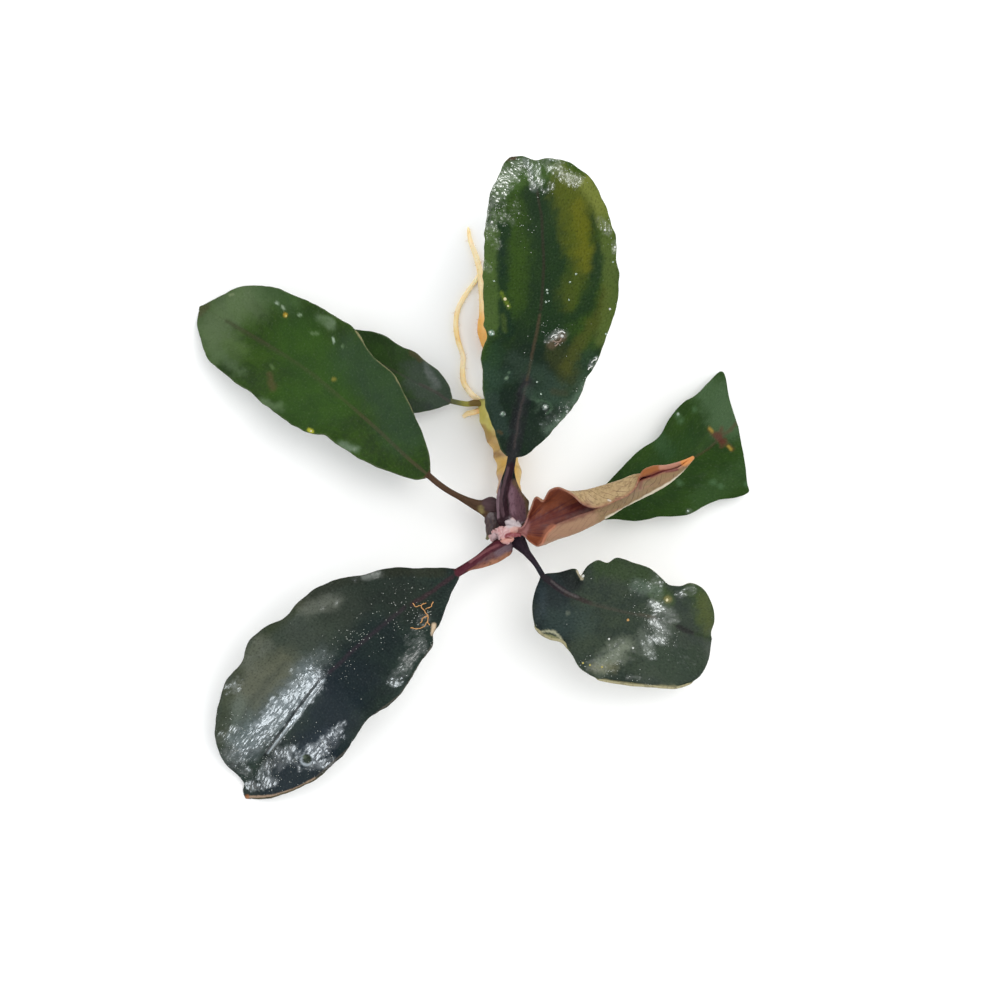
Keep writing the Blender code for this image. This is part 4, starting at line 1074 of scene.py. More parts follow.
class Bench:
    """A node tree, with one call that adds any node to it."""

    def __init__(self, tree):
        self.tree = tree

    def node(self, kind, settings=(), sockets=()):
        """A new node of this kind, with its settings and then its sockets' values or links."""
        made = self.tree.nodes.new(kind)
        for key, value in dict(settings).items():
            setattr(made, key, value)
        for key, value in dict(sockets).items():
            if isinstance(value, Link):
                self.tree.links.new(value.socket, made.inputs[key])
            else:
                made.inputs[key].default_value = value
        return made

    def link(self, kind, settings=(), sockets=(), output=0):
        return Link(self, self.node(kind, settings, sockets).outputs[output])

    def math(self, operation, *values):
        return self.link("ShaderNodeMath", {"operation": operation}, enumerate(values))

    def scaled(self, vector, factor):
        return self.link("ShaderNodeVectorMath", {"operation": "SCALE"}, {0: vector, "Scale": factor})

    def vector(self, x, y, z=0.0):
        return self.link("ShaderNodeCombineXYZ", (), {0: x, 1: y, 2: z})

    def noise(self, vector, size, detail=2.0, roughness=0.5):
        values = {"Vector": vector, "Scale": 1 / size, "Detail": detail, "Roughness": roughness}
        return self.link("ShaderNodeTexNoise", (), values)


class Finish(Bench):
    """A material in the making, on one Principled BSDF."""

    def __init__(self, name, **shader_values):
        self.material = bpy.data.materials.new(name)
        self.material.use_nodes = True
        super().__init__(self.material.node_tree)
        self.shader = self.tree.nodes["Principled BSDF"]
        for key, value in shader_values.items():
            self.shader.inputs[key.replace("_", " ")].default_value = value

    def feed(self, **links):
        """Links the shader's sockets, and gives back the finished material."""
        for key, link in links.items():
            self.tree.links.new(link.socket, self.shader.inputs[key.replace("_", " ")])
        return self.material

    def attribute(self, name, output):
        return self.link("ShaderNodeAttribute", {"attribute_name": name}, (), output)

    def parts(self, vector):
        """The three numbers of a vector, or of the vector attribute with this name."""
        if isinstance(vector, str):
            vector = self.attribute(vector, "Vector")
        node = self.node("ShaderNodeSeparateXYZ", (), {0: vector})
        return [Link(self, output) for output in node.outputs]

    def object_millimetres(self):
        """Object coordinates in mm."""
        return self.scaled(self.link("ShaderNodeTexCoord", output="Object"), 1 / MM)

    def cells(self, vector, size, feature="F1"):
        """Distance to the middle of the nearest cell, or to the edge of the cell it lies in."""
        values = {"Vector": vector, "Scale": 1 / size}
        return self.link("ShaderNodeTexVoronoi", {"feature": feature}, values)

    def smooth(self, value, low, high):
        """A soft step from 0 at low to 1 at high."""
        values = {"Value": value, "From Min": low, "From Max": high}
        return self.link("ShaderNodeMapRange", {"interpolation_type": "SMOOTHSTEP"}, values)

    def mix(self, first, second, share):
        """A colour between two colours."""
        first, second = ((*c, 1) if isinstance(c, tuple) else c for c in (first, second))
        return self.link("ShaderNodeMix", {"data_type": "RGBA"}, {0: share, 6: first, 7: second}, 2)

    def painted(self, colour, evenness=1):
        """A colour with the mesh's strokes over it."""
        share = self.attribute("tint", "Alpha") * evenness
        return self.mix(colour, self.attribute("tint", "Color"), self.math("MINIMUM", share, 1))

    def cover(self, shader, share):
        """Lays a second shader over the first where share says so."""
        first = Link(self, self.shader.outputs["BSDF"])
        both = self.node("ShaderNodeMixShader", (), {0: share, 1: first, 2: shader})
        self.tree.links.new(both.outputs[0], self.tree.nodes["Material Output"].inputs["Surface"])

    def bump(self, height, millimetres, **under):
        """A normal bent by a height from 0 to 1 that stands for this many mm."""
        return self.link("ShaderNodeBump", (), {
            "Strength": 1.0, "Distance": millimetres * MM, "Height": height, **under,
        })


def mottled(name, colour, other, size, roughness):
    """A material that drifts between two colours in patches of this many mm."""
    finish = Finish(name, Roughness=roughness)
    patches = finish.noise(finish.object_millimetres(), size)
    return finish.feed(Base_Color=finish.mix(tuple(colour), tuple(other), patches))


def leaf_skin(name, settings):
    """The skin of a grown leaf, finely grained, and glossy where it is wet."""
    look = {**PLAIN_LOOK, **LOOKS[name]}
    deep, bright, rib_tone, rim_tone, underside, stalk = (srgb(*c) for c in LEAF_COLOURS[name])
    finish = Finish(name + "_skin", IOR=1.45, Specular_IOR_Level=0.05, Coat_Roughness=0.3)
    mix, smooth, lumps = finish.mix, finish.smooth, finish.noise
    _, share, under = finish.parts("station")
    across, along, from_edge = finish.parts("reach")
    plane = finish.vector(across, along)
    off_rib = abs(across)
    mottle = lumps(plane, 4.5, 4, 0.6)
    fine = lumps(plane, 0.55, 3, 0.6)
    wide, long = look["grain_shape"]
    grains = finish.cells(finish.vector(across / wide, along / long), settings.grain_size / MM)
    green = mix(deep, bright, smooth(mottle + 0.25 * fine, 0.45, 0.8))
    turns = vein_slant(along, off_rib) * (2 * math.pi / VEIN_STEP) + lumps(plane, 6, 1) * 0.9
    vein = smooth(finish.math("SINE", turns), 0.86, 1)
    green = mix(green, rib_tone, vein * look["vein_show"] * smooth(off_rib, 0, 1.5))
    foot_width, tip_width = look["rib_widths"]
    rib_width = foot_width + (tip_width - foot_width) * share + 0.05 * fine
    rib = 1 - smooth(off_rib / rib_width, 0.5, 1.5)
    green = mix(green, rib_tone, rib * look["rib_show"] * (1 - look["rib_fade"] * share))
    grown = smooth(share, 0, 0.015)
    blade = finish.painted(mix(stalk, green, grown), 0.86 + 0.28 * lumps(plane, 1.6, 2))
    rim = (1 - smooth(from_edge + 0.08 * fine, 0.1, 0.22)) * grown
    blade = mix(blade, rim_tone, rim * look["rim_show"])
    dull = mix(underside, deep, smooth(mottle, 0.55, 0.8) * 0.5)
    dull = mix(dull, rib_tone, (vein * 0.4 + rib * 0.5) * (1 - share * 0.5))
    colour = mix(blade, dull, under * grown)
    pores = lumps(plane, 0.3, 2, 0.6)
    colour = mix(colour, (0.0, 0.0, 0.0), smooth(pores, 0.48, 0.75) * look["pores"])
    colour = mix(colour, mix(colour, WHITE, 0.05), smooth(pores, 0.45, 0.25) * 0.6)
    # Pale pinpoints: partly pale specks of the skin, partly painted glints
    specks_and_glints = (1 - smooth(finish.cells(plane, 0.9), 0.04, 0.1)) * (1 - under) * look["pale_specks_and_glints"]
    colour = mix(colour, mix(colour, WHITE, 0.3), specks_and_glints)
    wet, dry = look["roughness"]
    height = look["grain"] * settings.grain_height

    patches = lumps(plane, 1.3, 3, 0.6)
    wetness = finish.attribute("wet", "Fac")
    film = smooth(1.2 * wetness + 1.8 * patches + 0.5 * fine, 1.4, 2.3) * smooth(wetness, 0, 0.3)
    core = smooth(1.2 * wetness + 2.2 * patches, 2.05, 2.5)
    beads = 1 - smooth(grains + 0.3 * fine, 0.4, 0.75)
    ripple = 1 - grains + 1.6 * lumps(plane, 0.9, 2)
    glossy = finish.link("ShaderNodeBsdfPrincipled", (), {
        "Base Color": colour, "Roughness": wet + 0.1 * fine + 0.14 * core, "IOR": 1.5,
        "Specular IOR Level": look["mirror"], "Normal": finish.bump(ripple, 1.5 * height),
    })
    finish.cover(glossy, film * (core + (1 - core) * beads) * (1 - under))
    return finish.feed(
        Base_Color=colour, Roughness=dry + 0.14 * lumps(plane, 2.4, 3), Coat_Weight=film * 0.4 * (1 - under),
        Normal=finish.bump(fine, height, Normal=finish.bump(1 - grains, height * 0.4)),
    )


def add_object(name, data):
    """Puts a mesh, a camera or a light into the scene."""
    made = bpy.data.objects.new(name, data)
    bpy.context.scene.collection.objects.link(made)
    return made


def make_piece(name, mesh, material, node):
    """Adds a finished mesh to the scene on the plant's body, and hides the node's imported part if the mesh
    is its skin.
    """
    mesh.materials.clear()
    mesh.materials.append(material)
    piece = add_object(name, mesh)
    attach(piece, BODY)
    if name == node + "_skin":
        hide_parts(node)
    return piece


def grow_piece(name, base, tree, values, material, node):
    """Lets a tree of nodes make a piece of a base mesh, and keeps it inside the model's box."""
    carrier = add_object(name + "_base", base)
    modifier = carrier.modifiers.new("Growth", "NODES")
    modifier.node_group = tree
    values = {**values, "Material": material}
    for item in tree.interface.items_tree:
        if item.in_out == "INPUT" and item.name in values:
            modifier[item.identifier] = values[item.name]
    graph = bpy.context.evaluated_depsgraph_get()
    mesh = bpy.data.meshes.new_from_object(carrier.evaluated_get(graph))
    carrier.modifiers.remove(modifier)
    bpy.data.objects.remove(carrier)
    mesh.name = name
    mesh.shade_smooth()
    mesh.vertices.foreach_set("co", inside_box(mesh_vectors(mesh, "position")).ravel())
    mesh.update()
    return make_piece(name, mesh, material, node)


class Growth(Bench):
    """A Geometry Nodes tree in the making, with named inputs of these values."""

    kinds = {float: "Float", int: "Int"}

    def __init__(self, name, **inputs):
        tree = bpy.data.node_groups.new(name, "GeometryNodeTree")
        super().__init__(tree)
        tree.interface.new_socket("Geometry", in_out="INPUT", socket_type="NodeSocketGeometry")
        for label, value in inputs.items():
            kind = "NodeSocket" + self.kinds[type(value)]
            socket = tree.interface.new_socket(label.replace("_", " "), in_out="INPUT", socket_type=kind)
            socket.default_value = value
        tree.interface.new_socket("Material", in_out="INPUT", socket_type="NodeSocketMaterial")
        tree.interface.new_socket("Geometry", in_out="OUTPUT", socket_type="NodeSocketGeometry")
        outputs = tree.nodes.new("NodeGroupInput").outputs
        self.given = {socket.name: Link(self, socket) for socket in outputs if socket.name}

    def named(self, name, kind="FLOAT"):
        """Each point's own value of a named attribute."""
        return self.link("GeometryNodeInputNamedAttribute", {"data_type": kind}, {"Name": name})

    def random(self, low, high, seed):
        """A random number for each point."""
        return self.link("FunctionNodeRandomValue", {"data_type": "FLOAT"}, {2: low, 3: high, 8: seed}, 1)

    def spread(self, density):
        """Points strewn over the surface, and their rotations."""
        node = self.node("GeometryNodeDistributePointsOnFaces", (), {
            "Mesh": self.given["Geometry"], "Density": density, "Seed": self.given["Seed"],
        })
        return [Link(self, node.outputs[output]) for output in ("Points", "Rotation")]

    def instances(self, points, instance, rotation, scale):
        """Ends the tree in one instance on each point."""
        return self.close(self.link("GeometryNodeInstanceOnPoints", (), {
            "Points": points, "Instance": instance, "Rotation": rotation, "Scale": scale,
        }))

    def close(self, geometry):
        """Ends the tree in realized geometry with a material."""
        realized = self.link("GeometryNodeRealizeInstances", (), {0: geometry})
        self.node("NodeGroupOutput", (), {0: self.link("GeometryNodeSetMaterial", (), {
            "Geometry": realized, "Material": self.given["Material"],
        })})
        return self.tree


def tube_group():
    """Sweeps a round section along a line of points with a radius each, and roughens it."""
    bench = Growth("Stem or root", Sides=16, Bumps=0.0, Bump_Size=0.001)
    given = bench.given
    tube = bench.link("GeometryNodeCurveToMesh", (), {
        "Curve": bench.link("GeometryNodeMeshToCurve", (), {"Mesh": given["Geometry"]}),
        "Profile Curve": bench.link("GeometryNodeCurvePrimitiveCircle", (), {"Resolution": given["Sides"]}),
        "Scale": bench.named("radius"), "Fill Caps": True,
    })
    lumps = bench.noise(bench.link("GeometryNodeInputPosition"), given["Bump Size"])
    offset = bench.scaled(bench.link("GeometryNodeInputNormal"), (lumps - 0.5) * given["Bumps"])
    return bench.close(bench.link("GeometryNodeSetPosition", (), {"Geometry": tube, "Offset": offset}))


def scatter_group():
    """Scatters small lumps over a surface, more of them where its show attribute is high."""
    bench = Growth("Scattered grit", Density=1e6, Smallest=0.00004, Largest=0.0001, Flatness=0.6, Seed=1)
    given = bench.given
    points, rotation = bench.spread(given["Density"] * bench.named("show"))
    lump = bench.link("GeometryNodeMeshIcoSphere", (), {"Radius": 1.0, "Subdivisions": 1})
    size = bench.random(given["Smallest"], given["Largest"], given["Seed"])
    return bench.instances(points, lump, rotation, bench.vector(size, size, size * given["Flatness"]))


def bead_group():
    """Puts a bead on each point, turned to the point's up attribute and as wide as its width."""
    bench = Growth("Beads", Fineness=3, Flatness=0.5)
    given = bench.given
    width = bench.named("width")
    turned = bench.link("FunctionNodeAlignRotationToVector", {"axis": "Z"},
                        {"Vector": bench.named("up", "FLOAT_VECTOR")})
    bead = bench.link("GeometryNodeMeshIcoSphere", (), {"Radius": 0.5, "Subdivisions": given["Fineness"]})
    scale = bench.vector(width, width, width * given["Flatness"])
    return bench.instances(given["Geometry"], bead, turned, scale)


def hair_group():
    """Stands fine tapering hairs on a surface."""
    bench = Growth("Root hairs", Density=1e6, Length=0.0006, Thickness=0.00003, Seed=3)
    given = bench.given
    points, rotation = bench.spread(given["Density"])
    hair = bench.link("GeometryNodeMeshCone", (), {
        "Vertices": 4, "Radius Top": 0.0, "Radius Bottom": given["Thickness"], "Depth": given["Length"],
    })
    lean = bench.link("FunctionNodeRandomValue", {"data_type": "FLOAT_VECTOR"},
                      {0: (-0.7, -0.7, 0.0), 1: (0.7, 0.7, 6.3), 8: given["Seed"]})
    turned = bench.link("FunctionNodeRotateRotation", {"rotation_space": "LOCAL"},
                        {0: rotation, 1: bench.link("FunctionNodeEulerToRotation", (), {0: lean})})
    return bench.instances(points, hair, turned, bench.random(0.4, 1.0, 11))


def line_mesh(places, radii, **extra):
    """A line of points with their radii as an attribute, for a tube."""
    mesh = bpy.data.meshes.new("line")
    mesh.from_pydata([tuple(spot) for spot in places], [(i, i + 1) for i in range(len(places) - 1)], [])
    for key, values in {"radius": radii, **extra}.items():
        add_attribute(mesh, key, values)
    return mesh


class PlantSizes(bpy.types.PropertyGroup):
    """Sizes of the plant's finest details."""

    grain_size: FloatProperty(
        name="Grain", description="Width of one grain of a leaf's skin", default=0.42 * MM, unit="LENGTH")
    grain_height: FloatProperty(
        name="Grain height", description="How strongly the grain shows", default=1.0, subtype="FACTOR")
    largest_grit_and_glint: FloatProperty(
        name="Largest grit", description="Radius of the largest grit on the leaves", default=0.09 * MM,
        unit="LENGTH")
    grit_and_glint_density: FloatProperty(
        name="Grit density", description="Grains on a square metre where grit lies thickest", default=2.4e6)
    hair_length: FloatProperty(
        name="Root hairs", description="Length of the longest root hair", default=0.7 * MM, unit="LENGTH")
    root_sides: IntProperty(name="Root sides", description="Sides of a root's round section", default=18)


class PlantColours(bpy.types.PropertyGroup):
    """Colours of the plant's smaller pieces."""

    root: FloatVectorProperty(
        name="Root", description="Thin roots", default=(1.0, 0.75, 0.35), subtype="COLOR")
    root_deep: FloatVectorProperty(
        name="Deep root", description="Swollen stretches of the roots", default=(0.9, 0.47, 0.11),
        subtype="COLOR")
    rhizome: FloatVectorProperty(
        name="Stem", description="Creeping stem", default=srgb(246, 200, 108), subtype="COLOR")
    scar: FloatVectorProperty(
        name="Leaf scars", description="Rings left by old leaves", default=srgb(122, 80, 44),
        subtype="COLOR")
    young_inside: FloatVectorProperty(
        name="Young leaf, inside", description="Upper side of the rolled leaf", default=srgb(124, 62, 44),
        subtype="COLOR")
    young_outside: FloatVectorProperty(
        name="Young leaf, outside", description="Underside of the rolled leaf", default=srgb(152, 126, 90),
        subtype="COLOR")
    # Pale grit, which is painted glints where it lies thickest
    grit: FloatVectorProperty(
        name="Grit", description="Pale grit on the leaves", default=srgb(196, 202, 200), subtype="COLOR")


class StageSettings(bpy.types.PropertyGroup):
    """The floor, the lights and their strengths."""

    floor_size: FloatProperty(name="Floor", description="Width of the floor", default=3.0, unit="LENGTH")
    floor_colour: FloatVectorProperty(
        name="Floor colour", description="Pale floor under the plant", default=(0.98, 0.98, 0.98),
        subtype="COLOR")
    key: FloatProperty(name="Key light", description="Brightness of the soft key light", default=5.0)
    side: FloatProperty(
        name="Windows", description="Brightness of the panels that the wet leaves mirror", default=11.0)
    sky: FloatProperty(
        name="Surroundings", description="Brightness of the plain surroundings", default=1.02)


class BUCEPHALANDRA_OT_stage(bpy.types.Operator):
    """Adds the pale floor, the soft studio lights and the camera that looks straight down"""

    bl_idname = "bucephalandra.stage"
    bl_label = "Stage"

    def execute(self, context):
        settings = context.scene.bucephalandra_stage
        half = settings.floor_size / 2
        mesh = bpy.data.meshes.new("floor")
        mesh.from_pydata([(-half, -half, 0), (half, -half, 0), (half, half, 0), (-half, half, 0)],
                         [], [(0, 1, 2, 3)])
        pale = settings.floor_colour
        mesh.materials.append(mottled("floor", pale, [0.985 * c for c in pale], 30, 0.9))
        add_object("floor", mesh)

        camera = add_object("camera", bpy.data.cameras.new("camera"))
        camera.location = place(*EYE_TRACED, EYE_HEIGHT / MM)
        camera.data.sensor_width = SENSOR
        camera.data.lens = SENSOR * (EYE_HEIGHT - CROWN_HEIGHT) / (PICTURE * UNIT)
        camera.data.clip_start = 10 * MM
        context.scene.camera = camera

        world = bpy.data.worlds.new("surroundings")
        world.use_nodes = True
        background = world.node_tree.nodes["Background"]
        background.inputs["Color"].default_value = (0.97, 0.99, 1.0, 1.0)
        background.inputs["Strength"].default_value = settings.sky
        context.scene.world = world
        context.scene.view_settings.view_transform = "Standard"
        for name, (azimuth, elevation, size, brightness, colour) in WINDOWS.items():
            light = bpy.data.lights.new(name, "AREA")
            light.shape = "RECTANGLE"
            light.size, light.size_y = size
            strength = settings.key if name == "key" else settings.side
            light.energy = brightness * strength * math.pi * size[0] * size[1]
            light.color = colour
            turn = math.radians(azimuth)
            rise = math.radians(elevation)
            flat = math.cos(rise)
            toward = Vector((math.cos(turn) * flat, math.sin(turn) * flat, math.sin(rise)))
            panel = add_object(name, light)
            panel.visible_diffuse = name == "key"
            panel.location = toward * PANEL_DISTANCE
            panel.rotation_euler = toward.to_track_quat("Z", "Y").to_euler()
        return {"FINISHED"}


class BUCEPHALANDRA_OT_leaves(bpy.types.Operator):
    """Makes the six grown leaves with their petioles"""

    bl_idname = "bucephalandra.leaves"
    bl_label = "Grown leaves"

    def execute(self, context):
        columns = leaf_columns()
        for name, leaf in LEAVES.items():
            parts = zip(petiole_grid(leaf, SEATS[name], columns), blade_grid(name, leaf, columns))
            mesh = sheet_solid(name + "_skin", *(np.concatenate(pair) for pair in parts))
            station = mesh_vectors(mesh, "station")
            below = (station[:, 2] > 0.5) & (station[:, 1] > 0)
            paint_strokes(mesh, STROKES[name], np.where(below, 0, 1))
            traced, shift = wandering(mesh)
            wet = np.zeros(len(traced))
            for half_width, soft, strength, *line in WET_PLACES[name]:
                cover = stroke_cover(traced + shift * min(soft, 9), half_width, soft, *line)
                wet = np.maximum(wet, cover * strength) if strength > 0 else wet * (1 + strength * cover)
            add_attribute(mesh, "wet", wet)
            material = leaf_skin(name, context.scene.bucephalandra_sizes)
            make_piece(name + "_skin", mesh, material, name)
        return {"FINISHED"}


class BUCEPHALANDRA_OT_young_leaf(bpy.types.Operator):
    """Makes the youngest leaf, which is still rolled"""

    bl_idname = "bucephalandra.young_leaf"
    bl_label = "Young leaf"

    rows = 230
    columns = 91
    length = 29

    def execute(self, context):
        shares = np.linspace(0, 0.995, self.rows)
        lines = [np.array([seat, *line], float) for seat, line in zip(YOUNG_SEAT, YOUNG_LEAF)]
        guides = [curve(place(*line.T), shares, plan_only=False) for line in lines]
        between = np.linspace(0, 1, self.columns)
        centre = np.array([curve(row, between, plan_only=False) for row in zip(*guides)])
        v = between * 2 - 1
        width = np.linalg.norm(np.diff(centre, axis=1), axis=-1).sum(axis=1)[:, None] / MM / 2
        from_edge = (1 - np.abs(v)) * width
        across = v * width
        along = shares[:, None] * self.length * np.ones_like(across)
        halves = YOUNG_THICKNESS / 2 * rounded(from_edge, EDGE_ROUNDING)
        plane = joined(across, along)
        slant = along - 0.9 * np.abs(across) + 0.5 * rough(plane, 3, 33.0)
        veins = np.sin(2 * math.pi * slant / 1.45) ** 8
        free = smooth_step(shares / 0.1)[:, None] * smooth_step(from_edge / 0.5)
        ripple = 0.08 * rough(plane, 2.2, 31.0) + 0.03 * rough(plane, 0.8, 32.0) - 0.02 * veins
        centre = centre + grid_normals(centre) * (ripple * free * MM)[..., None]
        mesh = sheet_solid("young_leaf_skin", centre, halves, halves.copy(), joined(v, shares[:, None]),
                           joined(across, along, from_edge))
        paint_strokes(mesh, STROKES["young_leaf"])
        material = self.skin(context.scene.bucephalandra_colours)
        make_piece("young_leaf_skin", mesh, material, "young_leaf")
        return {"FINISHED"}

    @staticmethod
    def skin(colours):
        """Rust-brown inside with streaks along it, and tan outside with sparse slanting veins."""
        finish = Finish("young_leaf_skin", IOR=1.4, Specular_IOR_Level=0.2)
        mix, smooth, lumps = finish.mix, finish.smooth, finish.noise
        side, share, under = finish.parts("station")
        across, along, from_edge = finish.parts("reach")
        plane = finish.vector(across, along)
        fine = lumps(plane, 0.5, 3)
        mottle = lumps(plane, 2.0, 3)
        foot = place(*YOUNG_SEAT[2]) / MM
        object_x, object_y, _ = finish.parts(finish.object_millimetres())
        bearing = finish.math("ARCTAN2", object_y - foot[1], object_x - foot[0])
        streak = lumps(finish.vector(bearing * 16, along / 14), 1.0, 3, 0.6)
        slant = along - 2.2 * abs(across) + 0.8 * mottle
        vein = smooth(finish.math("SINE", slant * (2 * math.pi / 1.5)), 0.93, 1)
        vein = vein * smooth(lumps(plane, 1.6, 2), 0.35, 0.6)
        cells = finish.cells(finish.vector(across + 0.2 * fine, along * 0.7), 0.62, "DISTANCE_TO_EDGE")
        net = (1 - smooth(cells, 0.01, 0.09)) * smooth(mottle, 0.4, 0.65)
        lip = 1 - smooth(from_edge + 0.3 * fine, 0.12, 0.28)
        warm = 1 - smooth(from_edge + 0.8 * mottle, 0.4, 1.1)
        inside = mix(tuple(colours.young_inside), srgb(150, 80, 50), smooth(mottle, 0.4, 0.65))
        outside = mix(srgb(194, 166, 122), tuple(colours.young_outside), smooth(side, -0.3, 0.3))
        for tone, shown in (((88, 32, 36), smooth(streak, 0.47, 0.62) * 0.8), ((196, 150, 124), lip * 0.6)):
            inside = mix(inside, srgb(*tone), shown)
        for tone, shown in (
            ((138, 116, 80), smooth(fine, 0.45, 0.7) * 0.6),
            ((196, 136, 118), smooth(share, 0.55, 0.1) * side * 0.5),
            ((190, 128, 112), smooth(streak, 0.52, 0.7) * 0.5), ((112, 74, 56), net * 0.4),
            ((80, 44, 38), vein * 0.85), ((160, 104, 78), warm * 0.5), ((200, 158, 130), lip * 0.4),
        ):
            outside = mix(outside, srgb(*tone), shown)
        return finish.feed(
            Base_Color=finish.painted(mix(inside, outside, under)), Roughness=0.34 + 0.2 * mottle,
            Normal=finish.bump(fine + 0.5 * vein, 0.03),
        )


class BUCEPHALANDRA_OT_rhizome(bpy.types.Operator):
    """Makes the creeping stem, ringed by leaf scars"""

    bl_idname = "bucephalandra.rhizome"
    bl_label = "Creeping stem"

    points = 260

    def execute(self, context):
        colours = context.scene.bucephalandra_colours
        shares = np.linspace(0, 1, self.points)
        rows = curve(RHIZOME, shares)
        ring = np.cos(2 * math.pi * SCARS * shares)
        lip = np.exp(-(((SCARS * shares + 0.5) % 1 - 0.5) / 0.07) ** 2)
        rows[:, 3] *= 1 + SCAR_RISE * ring + 0.03 * lip
        base = line_mesh(place(*rows.T[:3]), rows[:, 3] * MM, lip=lip)
        finish = Finish("rhizome_skin", IOR=1.42)
        where = finish.object_millimetres()
        fine = finish.noise(where, 0.35, 4, 0.65)
        mottle = finish.smooth(finish.noise(where, 2.2, 3), 0.4, 0.7)
        skin = finish.mix(tuple(colours.rhizome), srgb(240, 210, 146), mottle)
        skin = finish.mix(skin, tuple(colours.scar), finish.attribute("lip", "Fac") * 0.4)
        skin = finish.mix(skin, srgb(120, 82, 44), finish.smooth(fine, 0.55, 0.75) * 0.35)
        material = finish.feed(Base_Color=finish.painted(skin), Roughness=0.34 + 0.25 * fine,
                               Normal=finish.bump(fine, 0.05))
        piece = grow_piece("rhizome_skin", base, tube_group(), {
            "Sides": 48, "Bumps": 0.16 * MM, "Bump Size": 1.1 * MM,
        }, material, "rhizome")
        paint_strokes(piece.data, STROKES["rhizome"])
        return {"FINISHED"}


class BUCEPHALANDRA_OT_roots(bpy.types.Operator):
    """Makes the three roots and their fine hairs"""

    bl_idname = "bucephalandra.roots"
    bl_label = "Roots"

    def execute(self, context):
        colours = context.scene.bucephalandra_colours
        sizes = context.scene.bucephalandra_sizes
        finish = Finish("root_skin", IOR=1.42, Subsurface_Weight=0.15, Subsurface_Scale=0.6 * MM)
        where = finish.object_millimetres()
        fine = finish.noise(where, 0.4, 3)
        mottle = finish.noise(where, 3.0, 3)
        skin = finish.mix(tuple(colours.root), (1.0, 0.83, 0.54), finish.smooth(mottle, 0.4, 0.7))
        skin = finish.mix(skin, tuple(colours.root_deep), finish.smooth(mottle, 0.48, 0.3) * 0.6)
        skin = finish.mix(skin, tuple(colours.root_deep), finish.attribute("swollen", "Fac"))
        skin = finish.mix(skin, srgb(226, 166, 92), finish.smooth(fine, 0.56, 0.8) * 0.35)
        skin = finish.feed(Base_Color=skin, Roughness=0.4 + 0.2 * fine, Normal=finish.bump(fine, 0.04))
        hair_skin = mottled("root_hair", srgb(236, 206, 150), srgb(206, 160, 96), 1.0, 0.6)
        tube = tube_group()
        hair = hair_group()
        for number, (name, course) in enumerate(ROOTS.items()):
            shares = np.linspace(0, 1, 40 * len(course))
            before, after = ROOT_SEATS[name]
            rows = curve([*before, *course, *after], shares)
            swollen = np.clip((rows[:, 3] - 0.45) / 0.6, 0, 1)
            radii = rows[:, 3] * MM * np.sqrt(1 - np.clip((shares - 0.97) / 0.03, 0, 0.96) ** 2)
            root = grow_piece(name + "_skin", line_mesh(place(*rows.T[:3]), radii, swollen=swollen), tube, {
                "Sides": sizes.root_sides, "Bumps": 0.14 * MM, "Bump Size": 0.9 * MM,
            }, skin, name)
            grow_piece(name + "_hairs", root.data.copy(), hair, {
                "Density": 1.6e6, "Length": sizes.hair_length, "Thickness": 0.022 * MM, "Seed": 20 + number,
            }, hair_skin, name)
        return {"FINISHED"}


class BUCEPHALANDRA_OT_scales(bpy.types.Operator):
    """Makes the dark and the papery scale leaf of the crown"""

    bl_idname = "bucephalandra.scales"
    bl_label = "Scale leaves"

    rows = 60
    columns = 41

    def execute(self, context):
        skins = {
            "dark_scale": self.skin("dark_scale_skin", srgb(60, 42, 48), srgb(88, 68, 60)),
            "papery_scale": self.skin("papery_scale_skin", srgb(200, 144, 144), srgb(222, 186, 184)),
        }
        for number, (name, scale) in enumerate(SCALES.items()):
            mesh = self.form(name + "_skin", scale, number)
            paint_strokes(mesh, STROKES[name])
            make_piece(name + "_skin", mesh, skins[name], name)
        for number, flap in enumerate(FLAPS):
            mesh = self.form(f"papery_flap_{number}", flap, number + 5)
            paint_strokes(mesh, STROKES["papery_scale"])
            make_piece(mesh.name, mesh, skins["papery_scale"], "papery_scale")
        return {"FINISHED"}

    @staticmethod
    def skin(name, deep, pale):
        """The streaked skin of a scale leaf."""
        finish = Finish(name, IOR=1.4)
        across, along, _ = finish.parts("reach")
        streak = finish.noise(finish.vector(across * 3, along), 1.0, 3)
        colour = finish.painted(finish.mix(deep, pale, finish.smooth(streak, 0.35, 0.7)))
        return finish.feed(Base_Color=colour, Roughness=0.35 + 0.2 * streak, Normal=finish.bump(streak, 0.05))

    def form(self, name, scale, number):
        """A thin crinkled scale."""
        shares = np.linspace(0, 1, self.rows)
        midrib, bend, thick, jagged = scale
        rows = curve(midrib, shares)
        left = left_of(curve(midrib, shares - 0.01), curve(midrib, shares + 0.01))
        v = np.linspace(-1, 1, self.columns)
        half_width = np.maximum(rows[:, 3:4], 0.02) * smooth_step(0.15 + shares / 0.2)[:, None]
        across = v * half_width
        along = shares[:, None] * 4 * np.ones_like(across)
        jags = rough(joined(along, np.sign(v) * 9), 0.55, 60.0 + number)
        across = across * (1 + jagged * jags * v ** 2)
        traced = rows[:, None, :2] - left[:, None, :] * (across * MM / UNIT)[..., None]
        plane = joined(across, along)
        crinkle = rough(plane, 0.8, 40.0 + number) + 0.5 * rough(plane, 0.35, 45.0 + number)
        traced = traced + 1.2 * rough(plane, 0.9, 50.0 + number)[..., None] * np.abs(v)[:, None]
        height = rows[:, 2:3] + bend * v ** 2 + (0.02 + 0.4 * thick) * crinkle
        from_edge = (1 - np.abs(v)) * half_width
        halves = thick / 2 * rounded(from_edge, thick / 2)
        return sheet_solid(name, place(traced[..., 0], traced[..., 1], height), halves, halves.copy(),
                           joined(v, shares[:, None]), joined(across, along, from_edge))


